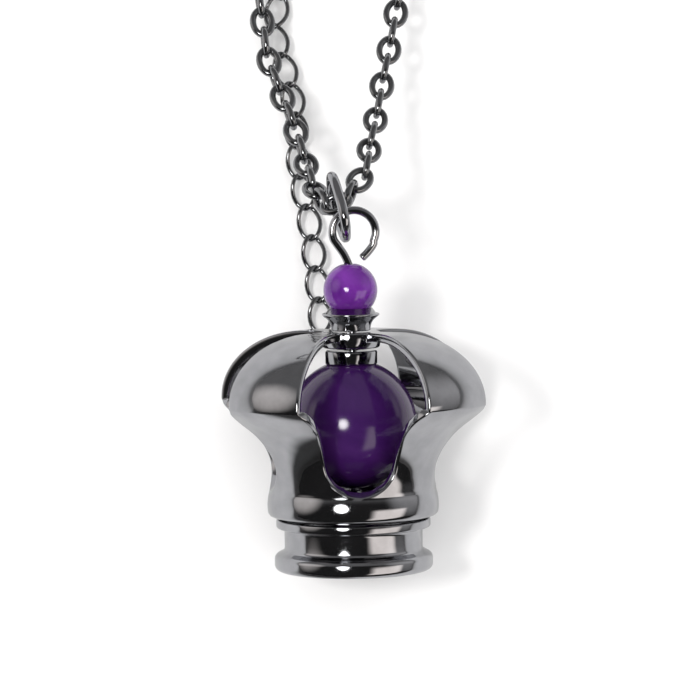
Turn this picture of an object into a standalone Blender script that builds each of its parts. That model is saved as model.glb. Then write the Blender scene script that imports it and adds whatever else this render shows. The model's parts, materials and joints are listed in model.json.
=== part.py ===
# Gem pendant necklace: a purple stone in a four-petalled metal cage, lying on its side on a flat
# surface, with its bail ring, a cable chain that closes in a clasp, and a thin extension chain.
# The pendant is built upright about its own axis, foot down and front window towards -Y, and is
# then laid down until its foot and the lip of its cage both touch the surface at Z = 0.

import math

import bmesh
import bpy
from mathutils import Matrix, Vector

# Clearances between neighbouring pieces
SEAT_GAP = 0.0003
LINK_GAP = 0.00015
LINK_BITE = 0.00006

# Small roundings of the turned and cast edges
EDGE_EASE = 0.00018
WAIST_FILLET = 0.0005
BAND_EASE = 0.0004

# Base plug: a turned foot, a waist and a ring, with a spigot that goes up inside the cage
FOOT_RADIUS = 0.00883
FOOT_HEIGHT = 0.0020
FOOT_EDGE = 0.0007
WAIST_RADIUS = 0.0077
WAIST_HEIGHT = 0.0028
RING_RADIUS = 0.0086
RING_HEIGHT = 0.0010
SPIGOT_HEIGHT = 0.0027
PIN_SOCKET_DEPTH = 0.0055

# Cage: a cast shell of even wall, with four petals between four windows
CAGE_WALL = 0.00095
THROAT_RADIUS = 0.0093
BAND_BULGE = 0.00025
BAND_HEIGHT = 0.0032
FLARE_HEIGHT = 0.0094
LIP_RADIUS = 0.01585
LIP_HEIGHT = 0.0003
DOME_HEIGHT = 0.0076
CREST_RADIUS = 0.0056
HUB_RADIUS = 0.0033
HUB_DROP = 0.0018
WINDOW_ANGLE = math.radians(26.5)
WINDOW_SILL = 0.00285
WINDOW_ROUND = 0.0034
SILL_SLOPE = 0.0006

# Cap on the stone, the collar and the small bead. The stone fills the room below its cap.
CAP_RADIUS = 0.0029
CAP_THICKNESS = 0.0007
COLLAR_RADIUS = 0.0022
COLLAR_RIM_RADIUS = 0.0032
COLLAR_HEIGHT = 0.0017
COLLAR_DISH = 0.0007
BEAD_RADIUS = 0.0030

# Eye pin, bent into an open loop above the bead
PIN_WIRE = 0.0009
LOOP_RADIUS = 0.00241
LOOP_OFFSET = 0.00049
LOOP_RISE = 0.00343

# Bail ring: a thick oval jump ring, turned and dipped as it lies. The pin's wire and the
# chain's middle link are placed from the ring's centre, along it and above or below it.
BAIL_LENGTH = 0.0085
BAIL_WIDTH = 0.0060
BAIL_WIRE = 0.0011
BAIL_HEADING = math.radians(10.0)
BAIL_DIP = math.radians(26.0)
BAIL_FULLNESS = 0.75
PIN_BEND = math.radians(122.0)
PIN_BEHIND = 0.0019
PIN_ABOVE = 0.00105
CHAIN_AHEAD = 0.0012
CHAIN_BELOW = 0.0008
CHAIN_TILT = math.radians(24.0)

# Cable chain
LINK_LENGTH = 0.0040
LINK_WIDTH = 0.00295
LINK_WIRE = 0.00075
LEFT_LINKS = 18
RIGHT_LINKS = 16
HELD_LINKS = 3
LOOSE_LINKS = 5
LOOSE_ROLL = math.radians(30.0)

# Extension chain of twisted links that lie flat
EXTENSION_LENGTH = 0.00466
EXTENSION_WIDTH = 0.0030
EXTENSION_WIRE = 0.0005
EXTENSION_TWIST = math.radians(35.0)
EXTENSION_LINKS = 15
EXTENSION_ROLL = math.radians(40.0)

# End ring, clasp and clasp ring
END_RING = 0.0046
END_RING_WIRE = 0.0007
END_RING_ROLL = math.radians(60.0)
END_RING_HANG = math.radians(-35.0)
CLASP_LENGTH = 0.0075
CLASP_WIDTH = 0.0050
CLASP_WIRE = 0.0011
CLASP_EYE = 0.0026
CLASP_EYE_WIRE = 0.0007
CLASP_RING = 0.0036
CLASP_RING_WIRE = 0.0006
CLASP_RING_ROLL = math.radians(70.0)
NECK_END_LEAD = 0.0060

# Faces around the turned pieces and the wires
PETAL_CELLS = 8
WINDOW_CELLS = 4
TURN_SIDES = 32
SMALL_SIDES = 24
BAIL_SIDES = 20
RING_SIDES = 14
EXTENSION_SIDES = 10
LINK_SIDES = 10
WIRE_SIDES = 5
LINE_STEPS = 12

# Flare of the cage from throat to lip: (share of the height, share of the widening)
FLARE = (
    (0.00, 0.000),
    (0.18, 0.035),
    (0.36, 0.110),
    (0.53, 0.250),
    (0.69, 0.450),
    (0.83, 0.710),
    (0.94, 0.920),
    (1.00, 1.000),
)

# Windows from sill to lip: (share of the height, share of the window's angle)
WINDOW_TAPER = (
    (0.00, 0.900),
    (0.45, 0.880),
    (0.60, 0.860),
    (0.72, 0.835),
    (0.82, 0.840),
    (0.90, 0.885),
    (0.95, 0.940),
    (1.00, 1.000),
)

# Collar outline from foot to rim: (share of the height, share of the widening)
COLLAR_FLARE = (
    (0.00, 0.00),
    (0.25, 0.04),
    (0.46, 0.17),
    (0.66, 0.45),
    (0.83, 0.85),
    (0.92, 1.00),
    (1.00, 0.97),
)

# Pin loop, from its centre, in loop radii: (across, up), where it leaves and where it ends
LOOP_LEAD = ((-0.274, -1.469), (-0.488, -1.008), (-0.813, -0.539))
LOOP_TAIL = ((0.892, -0.564), (0.635, -0.929), (0.330, -1.224))

# Route of the chain, from the link that the bail holds: (east, north, share of its height).
# East and north are in multiples of the route size. A share of 0 is the chain lying on the surface.
ROUTE_SIZE = 0.001
LEFT_ROUTE = (
    (-1.9, 1.2, 0.880),
    (-2.2, 3.2, 0.730),
    (-2.8, 6.9, 0.548),
    (-3.7, 11.5, 0.408),
    (-5.0, 16.1, 0.290),
    (-6.3, 20.8, 0.215),
    (-6.7, 25.9, 0.165),
    (-7.3, 30.7, 0.130),
    (-8.3, 35.6, 0.100),
    (-9.3, 41.0, 0.070),
    (-10.2, 47.0, 0.060),
)
RIGHT_ROUTE = (
    (1.8, 1.7, 0.956),
    (3.4, 3.5, 0.894),
    (4.4, 7.7, 0.720),
    (5.6, 12.0, 0.553),
    (6.7, 16.8, 0.430),
    (7.9, 21.6, 0.330),
    (9.0, 26.4, 0.250),
    (11.1, 33.4, 0.150),
    (14.6, 42.4, 0.060),
    (19.6, 52.9, 0.010),
    (26.2, 65.4, 0.000),
    (34.5, 80.0, 0.000),
    (41.5, 95.0, 0.000),
    (46.5, 111.0, 0.000),
    (48.0, 128.0, 0.000),
    (45.0, 145.0, 0.000),
    (37.0, 160.0, 0.000),
    (24.5, 171.0, 0.000),
    (9.0, 176.5, 0.000),
    (-7.0, 176.5, 0.000),
    (-22.5, 171.0, 0.000),
    (-35.0, 160.0, 0.000),
    (-43.0, 145.0, 0.000),
    (-46.0, 128.0, 0.000),
    (-44.5, 111.0, 0.000),
    (-39.0, 96.5, 0.000),
    (-30.8, 84.0, 0.000),
    (-22.5, 74.2, 0.000),
    (-15.8, 66.8, 0.000),
)
EXTENSION_ROUTE = (
    (-7.3, 39.0, 0.000),
    (-3.0, 32.8, 0.000),
    (-5.3, 26.2, 0.000),
    (-4.2, 21.3, 0.000),
    (-3.3, 17.5, 0.000),
    (-2.8, 13.5, 0.000),
    (-3.0, 9.6, 0.000),
    (-2.4, 5.7, 0.000),
    (-1.8, 2.0, 0.000),
    (-1.4, -1.7, 0.000),
    (-1.2, -5.4, 0.000),
    (-0.9, -9.0, 0.000),
    (-0.9, -14.0, 0.000),
)

# Heights along the pendant's axis, from the underside of the foot
WAIST_Z = FOOT_HEIGHT
RING_Z = WAIST_Z + WAIST_HEIGHT
CAGE_Z = RING_Z + RING_HEIGHT + SEAT_GAP
THROAT_Z = CAGE_Z + BAND_HEIGHT
LIP_Z = THROAT_Z + FLARE_HEIGHT
DOME_Z = LIP_Z + LIP_HEIGHT
CREST_Z = DOME_Z + DOME_HEIGHT
HUB_TOP_Z = CREST_Z
HUB_UNDER_Z = HUB_TOP_Z - HUB_DROP
CAP_TOP_Z = HUB_UNDER_Z - SEAT_GAP
SPIGOT_TOP_Z = CAGE_Z + SPIGOT_HEIGHT
STONE_RADIUS = (CAP_TOP_Z - CAP_THICKNESS - SPIGOT_TOP_Z) / 2 - SEAT_GAP
STONE_Z = SPIGOT_TOP_Z + SEAT_GAP + STONE_RADIUS
COLLAR_Z = HUB_TOP_Z + SEAT_GAP
DISH_Z = COLLAR_Z + COLLAR_HEIGHT - COLLAR_DISH
BEAD_Z = DISH_Z + SEAT_GAP + BEAD_RADIUS
LOOP_Z = BEAD_Z + BEAD_RADIUS + LOOP_RISE
BORE_RADIUS = PIN_WIRE / 2 + SEAT_GAP
CAGE_BORE = THROAT_RADIUS - CAGE_WALL

LINK_PITCH = LINK_LENGTH - 2 * LINK_WIRE + LINK_BITE
EXTENSION_PITCH = EXTENSION_LENGTH - 2 * EXTENSION_WIRE + LINK_BITE


# Shared modelling functions

def clear_scene():
    for old in list(bpy.data.objects):
        bpy.data.objects.remove(old, do_unlink=True)


def make_material(name, colour, roughness, metallic):
    material = bpy.data.materials.new(name)
    material.use_nodes = True
    shader = material.node_tree.nodes["Principled BSDF"]
    shader.inputs["Base Color"].default_value = (*colour, 1.0)
    shader.inputs["Roughness"].default_value = roughness
    shader.inputs["Metallic"].default_value = metallic
    return material


def finish_mesh(name, bm, material, parent, crease=math.radians(38.0)):
    bmesh.ops.recalc_face_normals(bm, faces=bm.faces)
    mesh = bpy.data.meshes.new(name)
    bm.to_mesh(mesh)
    bm.free()
    mesh.shade_smooth()
    mesh.set_sharp_from_angle(angle=crease)
    mesh.materials.append(material)
    made = bpy.data.objects.new(name, mesh)
    bpy.context.scene.collection.objects.link(made)
    made.parent = parent
    return made


def make_empty(name, parent=None):
    empty = bpy.data.objects.new(name, None)
    bpy.context.scene.collection.objects.link(empty)
    empty.parent = parent
    return empty


def arc(centre_r, centre_z, radius, start, end, steps):
    """Points (r, z) of an arc in the plane of a turned outline, angles in degrees."""
    points = []
    for step in range(steps + 1):
        angle = math.radians(start + (end - start) * step / steps)
        points.append((centre_r + radius * math.cos(angle), centre_z + radius * math.sin(angle)))
    return points


def turned(name, outline, sides, material, parent, closed=False):
    """A solid of revolution about Z. An open outline starts and ends on the axis."""
    bm = bmesh.new()
    rings = []
    for radius, z in outline:
        if radius < 1e-7:
            rings.append([bm.verts.new((0.0, 0.0, z))])
            continue
        ring = []
        for side in range(sides):
            angle = math.tau * side / sides
            ring.append(bm.verts.new((radius * math.sin(angle), -radius * math.cos(angle), z)))
        rings.append(ring)
    pairs = list(zip(rings, rings[1:]))
    if closed:
        pairs.append((rings[-1], rings[0]))
    for lower, upper in pairs:
        for side in range(sides):
            following = (side + 1) % sides
            if len(lower) == 1:
                bm.faces.new((lower[0], upper[side], upper[following]))
            elif len(upper) == 1:
                bm.faces.new((lower[side], lower[following], upper[0]))
            else:
                bm.faces.new((lower[side], lower[following], upper[following], upper[side]))
    return finish_mesh(name, bm, material, parent)


def table_value(table, share):
    """A value between the rows of a table, on a smooth curve through them."""
    shares = [row[0] for row in table]
    values = [row[1] for row in table]
    last = len(table) - 1
    index = max(0, min(last - 1, sum(1 for item in shares if item <= share) - 1))
    span = shares[index + 1] - shares[index]
    t = (share - shares[index]) / span
    before = max(0, index - 1)
    after = min(last, index + 2)
    slope_in = (values[index + 1] - values[before]) / (shares[index + 1] - shares[before]) * span
    slope_out = (values[after] - values[index]) / (shares[after] - shares[index]) * span
    return (
        (2 * t**3 - 3 * t**2 + 1) * values[index]
        + (t**3 - 2 * t**2 + t) * slope_in
        + (3 * t**2 - 2 * t**3) * values[index + 1]
        + (t**3 - t**2) * slope_out
    )


def smooth_curve(points):
    """A dense line on a centripetal Catmull-Rom curve through the points."""
    points = [Vector(point) for point in points]
    ends = [2 * points[0] - points[1]] + points + [2 * points[-1] - points[-2]]
    line = []
    for index in range(1, len(ends) - 2):
        p0, p1, p2, p3 = ends[index - 1:index + 3]
        t1 = (p1 - p0).length ** 0.5
        t2 = t1 + (p2 - p1).length ** 0.5
        t3 = t2 + (p3 - p2).length ** 0.5
        for step in range(LINE_STEPS):
            t = t1 + (t2 - t1) * step / LINE_STEPS
            a1 = p0 * (t1 - t) / t1 + p1 * t / t1
            a2 = p1 * (t2 - t) / (t2 - t1) + p2 * (t - t1) / (t2 - t1)
            a3 = p2 * (t3 - t) / (t3 - t2) + p3 * (t - t2) / (t3 - t2)
            b1 = a1 * (t2 - t) / t2 + a2 * t / t2
            b2 = a2 * (t3 - t) / (t3 - t1) + a3 * (t - t1) / (t3 - t1)
            line.append(b1 * (t2 - t) / (t2 - t1) + b2 * (t - t1) / (t2 - t1))
    line.append(points[-1])
    return line


def walk(line, pitch, count=None):
    """Points one pitch apart, in a straight line from each to the next, along a dense line."""
    stops = [line[0].copy()]
    for before, after in zip(line, line[1:]):
        while (after - stops[-1]).length >= pitch:
            if count is not None and len(stops) > count:
                return stops
            low, high = 0.0, 1.0
            for _ in range(30):
                middle = (low + high) / 2
                if (before.lerp(after, middle) - stops[-1]).length < pitch:
                    low = middle
                else:
                    high = middle
            stops.append(before.lerp(after, high))
    return stops


# Base plug

def make_base(material, parent):
    edge = FOOT_EDGE
    foot_top = FOOT_HEIGHT - edge
    ring_top = RING_Z + RING_HEIGHT
    soft = min(EDGE_EASE, RING_HEIGHT / 4)
    spigot = CAGE_BORE - SEAT_GAP
    outline = [(0.0, 0.0)]
    outline += arc(FOOT_RADIUS - edge, edge, edge, -90, 0, 4)
    outline += arc(FOOT_RADIUS - edge, foot_top, edge, 18, 62, 2)
    outline += [(WAIST_RADIUS + 0.4 * WAIST_FILLET, WAIST_Z + 0.2 * WAIST_FILLET)]
    outline += [(WAIST_RADIUS, WAIST_Z + WAIST_FILLET), (WAIST_RADIUS, RING_Z - 0.2 * WAIST_FILLET)]
    outline += arc(RING_RADIUS - soft, RING_Z + soft, soft, -90, 0, 2)
    outline += arc(RING_RADIUS - soft, ring_top - soft, soft, 0, 90, 2)
    outline += [(spigot, ring_top), (spigot, SPIGOT_TOP_Z - soft), (spigot - soft, SPIGOT_TOP_Z)]
    outline += [(BORE_RADIUS, SPIGOT_TOP_Z), (BORE_RADIUS, SPIGOT_TOP_Z - PIN_SOCKET_DEPTH)]
    outline += [(0.0, SPIGOT_TOP_Z - PIN_SOCKET_DEPTH)]
    return turned("base", outline, TURN_SIDES, material, parent)


# Cage

def window_half_angle(z):
    """Half of a window's angle at one height: round below, then as its table says."""
    above = max(0.0, z - CAGE_Z - WINDOW_SILL)
    rise = LIP_Z - CAGE_Z - WINDOW_SILL
    angle = WINDOW_ANGLE * table_value(WINDOW_TAPER, min(1.0, above / rise))
    share = min(1.0, above / WINDOW_ROUND)
    return math.asin(math.sin(angle) * math.sqrt(1.0 - (1.0 - share) ** 2))


def flare_radius(z):
    share = min(1.0, max(0.0, (z - THROAT_Z) / FLARE_HEIGHT))
    return THROAT_RADIUS + (LIP_RADIUS - THROAT_RADIUS) * table_value(FLARE, share)


def dome_point(angle, wall):
    """A point (r, z) of the dome's oval, 0 degrees at the lip and 90 at the crest."""
    angle = math.radians(angle)
    radius = CREST_RADIUS + (LIP_RADIUS - CREST_RADIUS - wall) * math.cos(angle)
    return radius, DOME_Z + (DOME_HEIGHT - wall) * math.sin(angle)


def cage_rows():
    """Rows of the windowed part: outer (r, z), inner (r, z) and the window's half angle."""
    sill = CAGE_Z + WINDOW_SILL
    rise = LIP_Z - sill
    rows = []
    for share in (0.0, 0.03, 0.09, 0.17, 0.28, 0.40, 0.54, 0.67, 0.79, 0.90, 0.965):
        z = sill + rise * share
        radius = flare_radius(z)
        step = 0.01 * FLARE_HEIGHT
        slope = (flare_radius(z + step) - flare_radius(z - step)) / (2 * step)
        unit = math.hypot(1.0, slope)
        lifted = SILL_SLOPE * max(0.0, 1.0 - (z - sill) / WINDOW_ROUND)
        inner = (radius - CAGE_WALL / unit, z + CAGE_WALL * slope / unit + lifted)
        rows.append(((radius, z), inner, window_half_angle(z)))
    rows.append(((LIP_RADIUS, LIP_Z), dome_point(0, CAGE_WALL), WINDOW_ANGLE))
    for angle in (3, 17, 32, 48, 66, 90):
        rows.append((dome_point(angle, 0.0), dome_point(angle, CAGE_WALL), WINDOW_ANGLE))
    for radius in ((CREST_RADIUS + HUB_RADIUS) / 2, HUB_RADIUS):
        rows.append(((radius, HUB_TOP_Z), (radius, HUB_TOP_Z - CAGE_WALL), WINDOW_ANGLE))
    return rows


def cage_ring(bm, radius, z, half_angle, window_cells):
    """Points around the cage, one list for each petal and one for each window after it."""
    petals = []
    windows = []
    for quarter in range(4):
        start = quarter * math.pi / 2 + half_angle
        span = math.pi / 2 - 2 * half_angle
        petal = []
        for cell in range(PETAL_CELLS + 1):
            angle = start + span * cell / PETAL_CELLS
            petal.append(bm.verts.new((radius * math.sin(angle), -radius * math.cos(angle), z)))
        petals.append(petal)
        window = []
        for cell in range(1, window_cells):
            angle = start + span + 2 * half_angle * cell / window_cells
            window.append(bm.verts.new((radius * math.sin(angle), -radius * math.cos(angle), z)))
        windows.append(window)
    if half_angle == 0.0:
        for quarter in range(4):
            following = (quarter + 1) % 4
            bm.verts.remove(petals[quarter][-1])
            petals[quarter][-1] = petals[following][0]
    return petals, windows


def whole_ring(ring):
    """The points of a ring in order, petals and windows together."""
    petals, windows = ring
    points = []
    for petal, window in zip(petals, windows):
        points += petal + window
    unique = []
    for index, point in enumerate(points):
        if point is not points[index - 1]:
            unique.append(point)
    return unique


def bridge(bm, lower, upper):
    count = len(lower)
    for index in range(count):
        following = (index + 1) % count
        bm.faces.new((lower[index], lower[following], upper[following], upper[index]))


def make_cage(material, parent):
    bm = bmesh.new()
    rows = cage_rows()
    outer = []
    inner = []
    for row, (outside, inside, half_angle) in enumerate(rows):
        at_hub = row == len(rows) - 1
        cells = WINDOW_CELLS if at_hub else 1
        outer.append(cage_ring(bm, *outside, half_angle, cells))
        inner.append(cage_ring(bm, *inside, half_angle, cells))
    for skin in (outer, inner):
        for (lower, _), (upper, _) in zip(skin, skin[1:]):
            for quarter in range(4):
                for cell in range(PETAL_CELLS):
                    corners = (lower[quarter][cell], lower[quarter][cell + 1],
                               upper[quarter][cell + 1], upper[quarter][cell])
                    bm.faces.new(corners)
    for row in range(len(rows) - 1):
        for quarter in range(4):
            for cell in (0, PETAL_CELLS):
                corners = (outer[row][0][quarter][cell], outer[row + 1][0][quarter][cell],
                           inner[row + 1][0][quarter][cell], inner[row][0][quarter][cell])
                bm.faces.new(corners)

    hub_outer = outer[-1]
    hub_inner = inner[-1]
    for quarter in range(4):
        following = (quarter + 1) % 4
        top = [hub_outer[0][quarter][-1]] + hub_outer[1][quarter] + [hub_outer[0][following][0]]
        under = [hub_inner[0][quarter][-1]] + hub_inner[1][quarter] + [hub_inner[0][following][0]]
        for cell in range(WINDOW_CELLS):
            bm.faces.new((top[cell], top[cell + 1], under[cell + 1], under[cell]))

    around = WINDOW_ANGLE
    hub_outline = (
        (COLLAR_RADIUS + SEAT_GAP, HUB_TOP_Z),
        (BORE_RADIUS, HUB_TOP_Z),
        (BORE_RADIUS, HUB_UNDER_Z),
        (HUB_RADIUS - EDGE_EASE, HUB_UNDER_Z),
    )
    hub_rings = [whole_ring(hub_outer)]
    for radius, z in hub_outline:
        hub_rings.append(whole_ring(cage_ring(bm, radius, z, around, WINDOW_CELLS)))
    hub_rings.append(whole_ring(hub_inner))
    for lower, upper in zip(hub_rings, hub_rings[1:]):
        bridge(bm, lower, upper)

    band_radius = THROAT_RADIUS + BAND_BULGE
    band_outline = (
        (CAGE_BORE, CAGE_Z),
        (THROAT_RADIUS - BAND_EASE, CAGE_Z),
        (THROAT_RADIUS + 0.2 * BAND_BULGE, CAGE_Z + 0.08 * BAND_HEIGHT),
        (band_radius, CAGE_Z + 0.26 * BAND_HEIGHT),
        (band_radius, CAGE_Z + 0.46 * BAND_HEIGHT),
        (THROAT_RADIUS + 0.5 * BAND_BULGE, CAGE_Z + 0.64 * BAND_HEIGHT),
    )
    band_rings = [whole_ring(inner[0])]
    for radius, z in band_outline:
        band_rings.append(whole_ring(cage_ring(bm, radius, z, 0.0, 1)))
    band_rings.append(whole_ring(outer[0]))
    for lower, upper in zip(band_rings, band_rings[1:]):
        bridge(bm, lower, upper)
    return finish_mesh("cage", bm, material, parent)


# Stone, cap, collar and bead

def drilled_ball(name, radius, z, sides, bands, material, parent):
    tip = math.degrees(math.acos(BORE_RADIUS / radius))
    outline = arc(0.0, z, radius, -tip, tip, bands)
    return turned(name, outline, sides, material, parent, closed=True)


def make_stone_cap(material, parent):
    hollow = STONE_RADIUS + SEAT_GAP
    edge = math.degrees(math.acos(CAP_RADIUS / hollow))
    middle = math.degrees(math.acos(BORE_RADIUS / hollow))
    under = arc(0.0, STONE_Z, hollow, middle, edge, 4)
    outline = under + [(CAP_RADIUS, CAP_TOP_Z - EDGE_EASE), (CAP_RADIUS - EDGE_EASE, CAP_TOP_Z)]
    outline += [(BORE_RADIUS, CAP_TOP_Z)]
    return turned("stone_cap", outline, SMALL_SIDES, material, parent, closed=True)


def make_collar(material, parent):
    outline = [(BORE_RADIUS, COLLAR_Z)]
    for share, widening in COLLAR_FLARE:
        radius = COLLAR_RADIUS + (COLLAR_RIM_RADIUS - COLLAR_RADIUS) * widening
        outline.append((radius, COLLAR_Z + COLLAR_HEIGHT * share))
    outline.append((COLLAR_RIM_RADIUS * 0.9, COLLAR_Z + COLLAR_HEIGHT))
    dish_radius = math.sqrt(2 * BEAD_RADIUS * COLLAR_DISH - COLLAR_DISH**2)
    outline.append((dish_radius, DISH_Z + 0.35 * COLLAR_DISH))
    outline.append((BORE_RADIUS, DISH_Z))
    return turned("collar", outline, SMALL_SIDES, material, parent, closed=True)


# Eye pin

def pin_line():
    """Centre line of the pin, in the pendant's own frame."""
    start_z = SPIGOT_TOP_Z - PIN_SOCKET_DEPTH + SEAT_GAP
    loop = []
    for across, up in LOOP_LEAD:
        loop.append((LOOP_OFFSET + across * LOOP_RADIUS, 0.0, LOOP_Z + up * LOOP_RADIUS))
    for angle in range(200, -30, -15):
        turn = math.radians(angle)
        x = LOOP_OFFSET + LOOP_RADIUS * math.cos(turn)
        loop.append((x, 0.0, LOOP_Z + LOOP_RADIUS * math.sin(turn)))
    for across, up in LOOP_TAIL:
        loop.append((LOOP_OFFSET + across * LOOP_RADIUS, 0.0, LOOP_Z + up * LOOP_RADIUS))
    neck_z = BEAD_Z + 0.8 * BEAD_RADIUS
    return [Vector((0.0, 0.0, start_z)), Vector((0.0, 0.0, neck_z))] + [Vector(p) for p in loop]


def wire_curve(name, line, wire, material, parent):
    data = bpy.data.curves.new(name, "CURVE")
    data.dimensions = "3D"
    data.bevel_depth = wire / 2
    data.bevel_resolution = 2
    data.use_fill_caps = True
    spline = data.splines.new("POLY")
    spline.points.add(len(line) - 1)
    for point, place in zip(spline.points, line):
        point.co = (*place, 1.0)
    spline.use_smooth = True
    data.materials.append(material)
    made = bpy.data.objects.new(name, data)
    bpy.context.scene.collection.objects.link(made)
    made.parent = parent
    return made


# Rings and links

def fuller(value, fullness):
    """A sine or cosine changed so that its circle becomes squarer below a fullness of 1."""
    return math.copysign(abs(value) ** fullness, value)


def add_link(bm, centre, along, across, size, wires, sides, wire_sides, twist=0.0, fullness=1.0):
    """A closed oval of wire. wires is the wire at the near and the far end along the link."""
    along = along.normalized()
    across = (across - along * across.dot(along)).normalized()
    near_wire, far_wire = wires
    middle_wire = (near_wire + far_wire) / 2
    reach = (size[0] - middle_wire) / 2
    half_width = (size[1] - middle_wire) / 2
    places = []
    normals = []
    for side in range(sides):
        turn = math.tau * side / sides
        advance = fuller(math.cos(turn), fullness)
        spread = fuller(math.sin(turn), fullness)
        sideways = Matrix.Rotation(twist * advance, 3, along) @ across
        places.append(centre + along * reach * advance + sideways * half_width * spread)
        normals.append(along.cross(sideways))
    rings = []
    for side in range(sides):
        tangent = (places[(side + 1) % sides] - places[side - 1]).normalized()
        outward = tangent.cross(normals[side]).normalized()
        normal = outward.cross(tangent)
        wire = middle_wire + (far_wire - near_wire) / 2 * math.cos(math.tau * side / sides)
        ring = []
        for corner in range(wire_sides):
            angle = math.pi + math.tau * corner / wire_sides
            offset = outward * math.cos(angle) + normal * math.sin(angle)
            ring.append(bm.verts.new(places[side] + offset * wire / 2))
        rings.append(ring)
    for side in range(sides):
        ring = rings[side]
        following = rings[(side + 1) % sides]
        for corner in range(wire_sides):
            beside = (corner + 1) % wire_sides
            bm.faces.new((ring[corner], ring[beside], following[beside], following[corner]))


def make_ring(name, centre, along, across, size, wires, sides, wire_sides, material, parent,
              fullness=1.0):
    bm = bmesh.new()
    add_link(bm, centre, along, across, size, wires, sides, wire_sides, fullness=fullness)
    return finish_mesh(name, bm, material, parent, crease=math.pi)


def across_of(along, roll):
    """The direction across a link: level for a roll of 0, on edge for 90 degrees."""
    level = Vector((0.0, 0.0, 1.0)).cross(along).normalized()
    return Matrix.Rotation(roll, 3, along.normalized()) @ level


def join_hidden(body, helper, label):
    """Unites a hidden helper with a body."""
    helper.hide_render = True
    helper.display_type = "WIRE"
    union = body.modifiers.new(label, "BOOLEAN")
    union.operation = "UNION"
    union.solver = "EXACT"
    union.object = helper


def fused_links(name, links, size, wire, sides, twist, material, parent):
    """Interlocking links made one body: the even links united with the odd ones."""
    halves = []
    for parity, suffix in ((0, ""), (1, "_other_links")):
        bm = bmesh.new()
        for centre, along, across in links[parity::2]:
            add_link(bm, centre, along, across, size, (wire, wire), sides, WIRE_SIDES, twist)
        halves.append(finish_mesh(name + suffix, bm, material, parent, crease=math.pi))
    join_hidden(*halves, "join the other links")


def links_between(stops, rolls):
    links = []
    for start, end, roll in zip(stops, stops[1:], rolls):
        along = (end - start).normalized()
        links.append(((start + end) / 2, along, across_of(along, roll)))
    return links


def route_line(start, table, seat, low):
    """A dense line from a start through the rows of a route, measured from the bail's link."""
    points = [start]
    for east, north, share in table:
        x = seat.x + east * ROUTE_SIZE
        y = seat.y + north * ROUTE_SIZE
        points.append(Vector((x, y, low + (seat.z - low) * share)))
    return smooth_curve(points)


# How the pendant lies

def rest_on_surface(foot, cage):
    """The lean of the axis and the height of the foot's centre when both pieces touch down."""
    foot_points = [vertex.co for vertex in foot.data.vertices]
    cage_points = [vertex.co for vertex in cage.data.vertices]
    lean = math.pi / 2
    for low in foot_points:
        steepest = max(math.atan2(high.y - low.y, high.z - low.z) for high in cage_points)
        lean = min(lean, steepest)
    height = 0.0
    for point in foot_points + cage_points:
        height = max(height, point.y * math.cos(lean) - point.z * math.sin(lean))
    return lean, height


def lay_pendant(pendant, lean, height):
    pendant.rotation_euler = (lean - math.pi / 2, 0.0, 0.0)
    pendant.location = (0.0, 0.0, height)
    return Matrix.Translation((0.0, 0.0, height)) @ Matrix.Rotation(lean - math.pi / 2, 4, "X")


# Bail ring and chains

def make_bail(place, material, parent):
    """The oval ring around the pin loop's wire, and where and how the link it holds lies."""
    heading = Matrix.Rotation(BAIL_HEADING, 3, "Z")
    dip = Matrix.Rotation(-BAIL_DIP, 3, "X")
    along = heading @ dip @ Vector((0.0, 1.0, 0.0))
    upward = heading @ dip @ Vector((0.0, 0.0, 1.0))
    sideways = heading @ Vector((math.cos(CHAIN_TILT), 0.0, math.sin(CHAIN_TILT)))
    bend_x = LOOP_OFFSET + LOOP_RADIUS * math.cos(PIN_BEND)
    bend_z = LOOP_Z + LOOP_RADIUS * math.sin(PIN_BEND)
    centre = place @ Vector((bend_x, 0.0, bend_z)) + along * PIN_BEHIND - upward * PIN_ABOVE
    seat = centre + along * CHAIN_AHEAD - upward * CHAIN_BELOW
    size = (BAIL_LENGTH, BAIL_WIDTH)
    wires = (BAIL_WIRE, BAIL_WIRE)
    make_ring("bail_ring", centre, along, upward, size, wires, BAIL_SIDES, 6, material, parent,
              BAIL_FULLNESS)
    return seat, sideways


def make_chain(seat, sideways, material, parent):
    """The front of the chain, link by link, and the line that the rest of it follows."""
    low = LINK_WIDTH / 2
    first = seat - sideways * LINK_PITCH / 2
    second = seat + sideways * LINK_PITCH / 2
    left_stops = walk(route_line(first, LEFT_ROUTE, seat, low), LINK_PITCH, LEFT_LINKS)
    right_line = route_line(second, RIGHT_ROUTE, seat, low)
    right_stops = walk(right_line, LINK_PITCH, RIGHT_LINKS)
    rolls = []
    for index in range(-LEFT_LINKS, RIGHT_LINKS + 1):
        upright = math.pi / 2 if index % 2 else 0.0
        held = -BAIL_DIP * max(0.0, 1.0 - abs(index) / HELD_LINKS)
        loose = LOOSE_ROLL * max(0.0, 1.0 - (index + LEFT_LINKS) / LOOSE_LINKS)
        rolls.append(upright + held + loose)
    links = links_between(list(reversed(left_stops)) + right_stops, rolls)
    size = (LINK_LENGTH, LINK_WIDTH)
    fused_links("front_chain", links, size, LINK_WIRE, LINK_SIDES, 0.0, material, parent)
    return left_stops, right_stops, right_line


def make_end_ring(left_stops, material, parent):
    """The ring that the last link of the left strand holds, rolled on its side."""
    outward = left_stops[-1] - left_stops[-2]
    outward = Vector((outward.x, outward.y, 0.0)).normalized()
    near = left_stops[-1] - outward * (END_RING_WIRE / 2 + LINK_GAP)
    centre = near + outward * (END_RING - END_RING_WIRE) / 2
    centre.z = max(centre.z, END_RING / 2)
    across = across_of(outward, END_RING_ROLL)
    wires = (END_RING_WIRE, END_RING_WIRE)
    make_ring("end_ring", centre, outward, across, (END_RING, END_RING), wires, RING_SIDES,
              WIRE_SIDES, material, parent)
    return centre, outward, across


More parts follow.
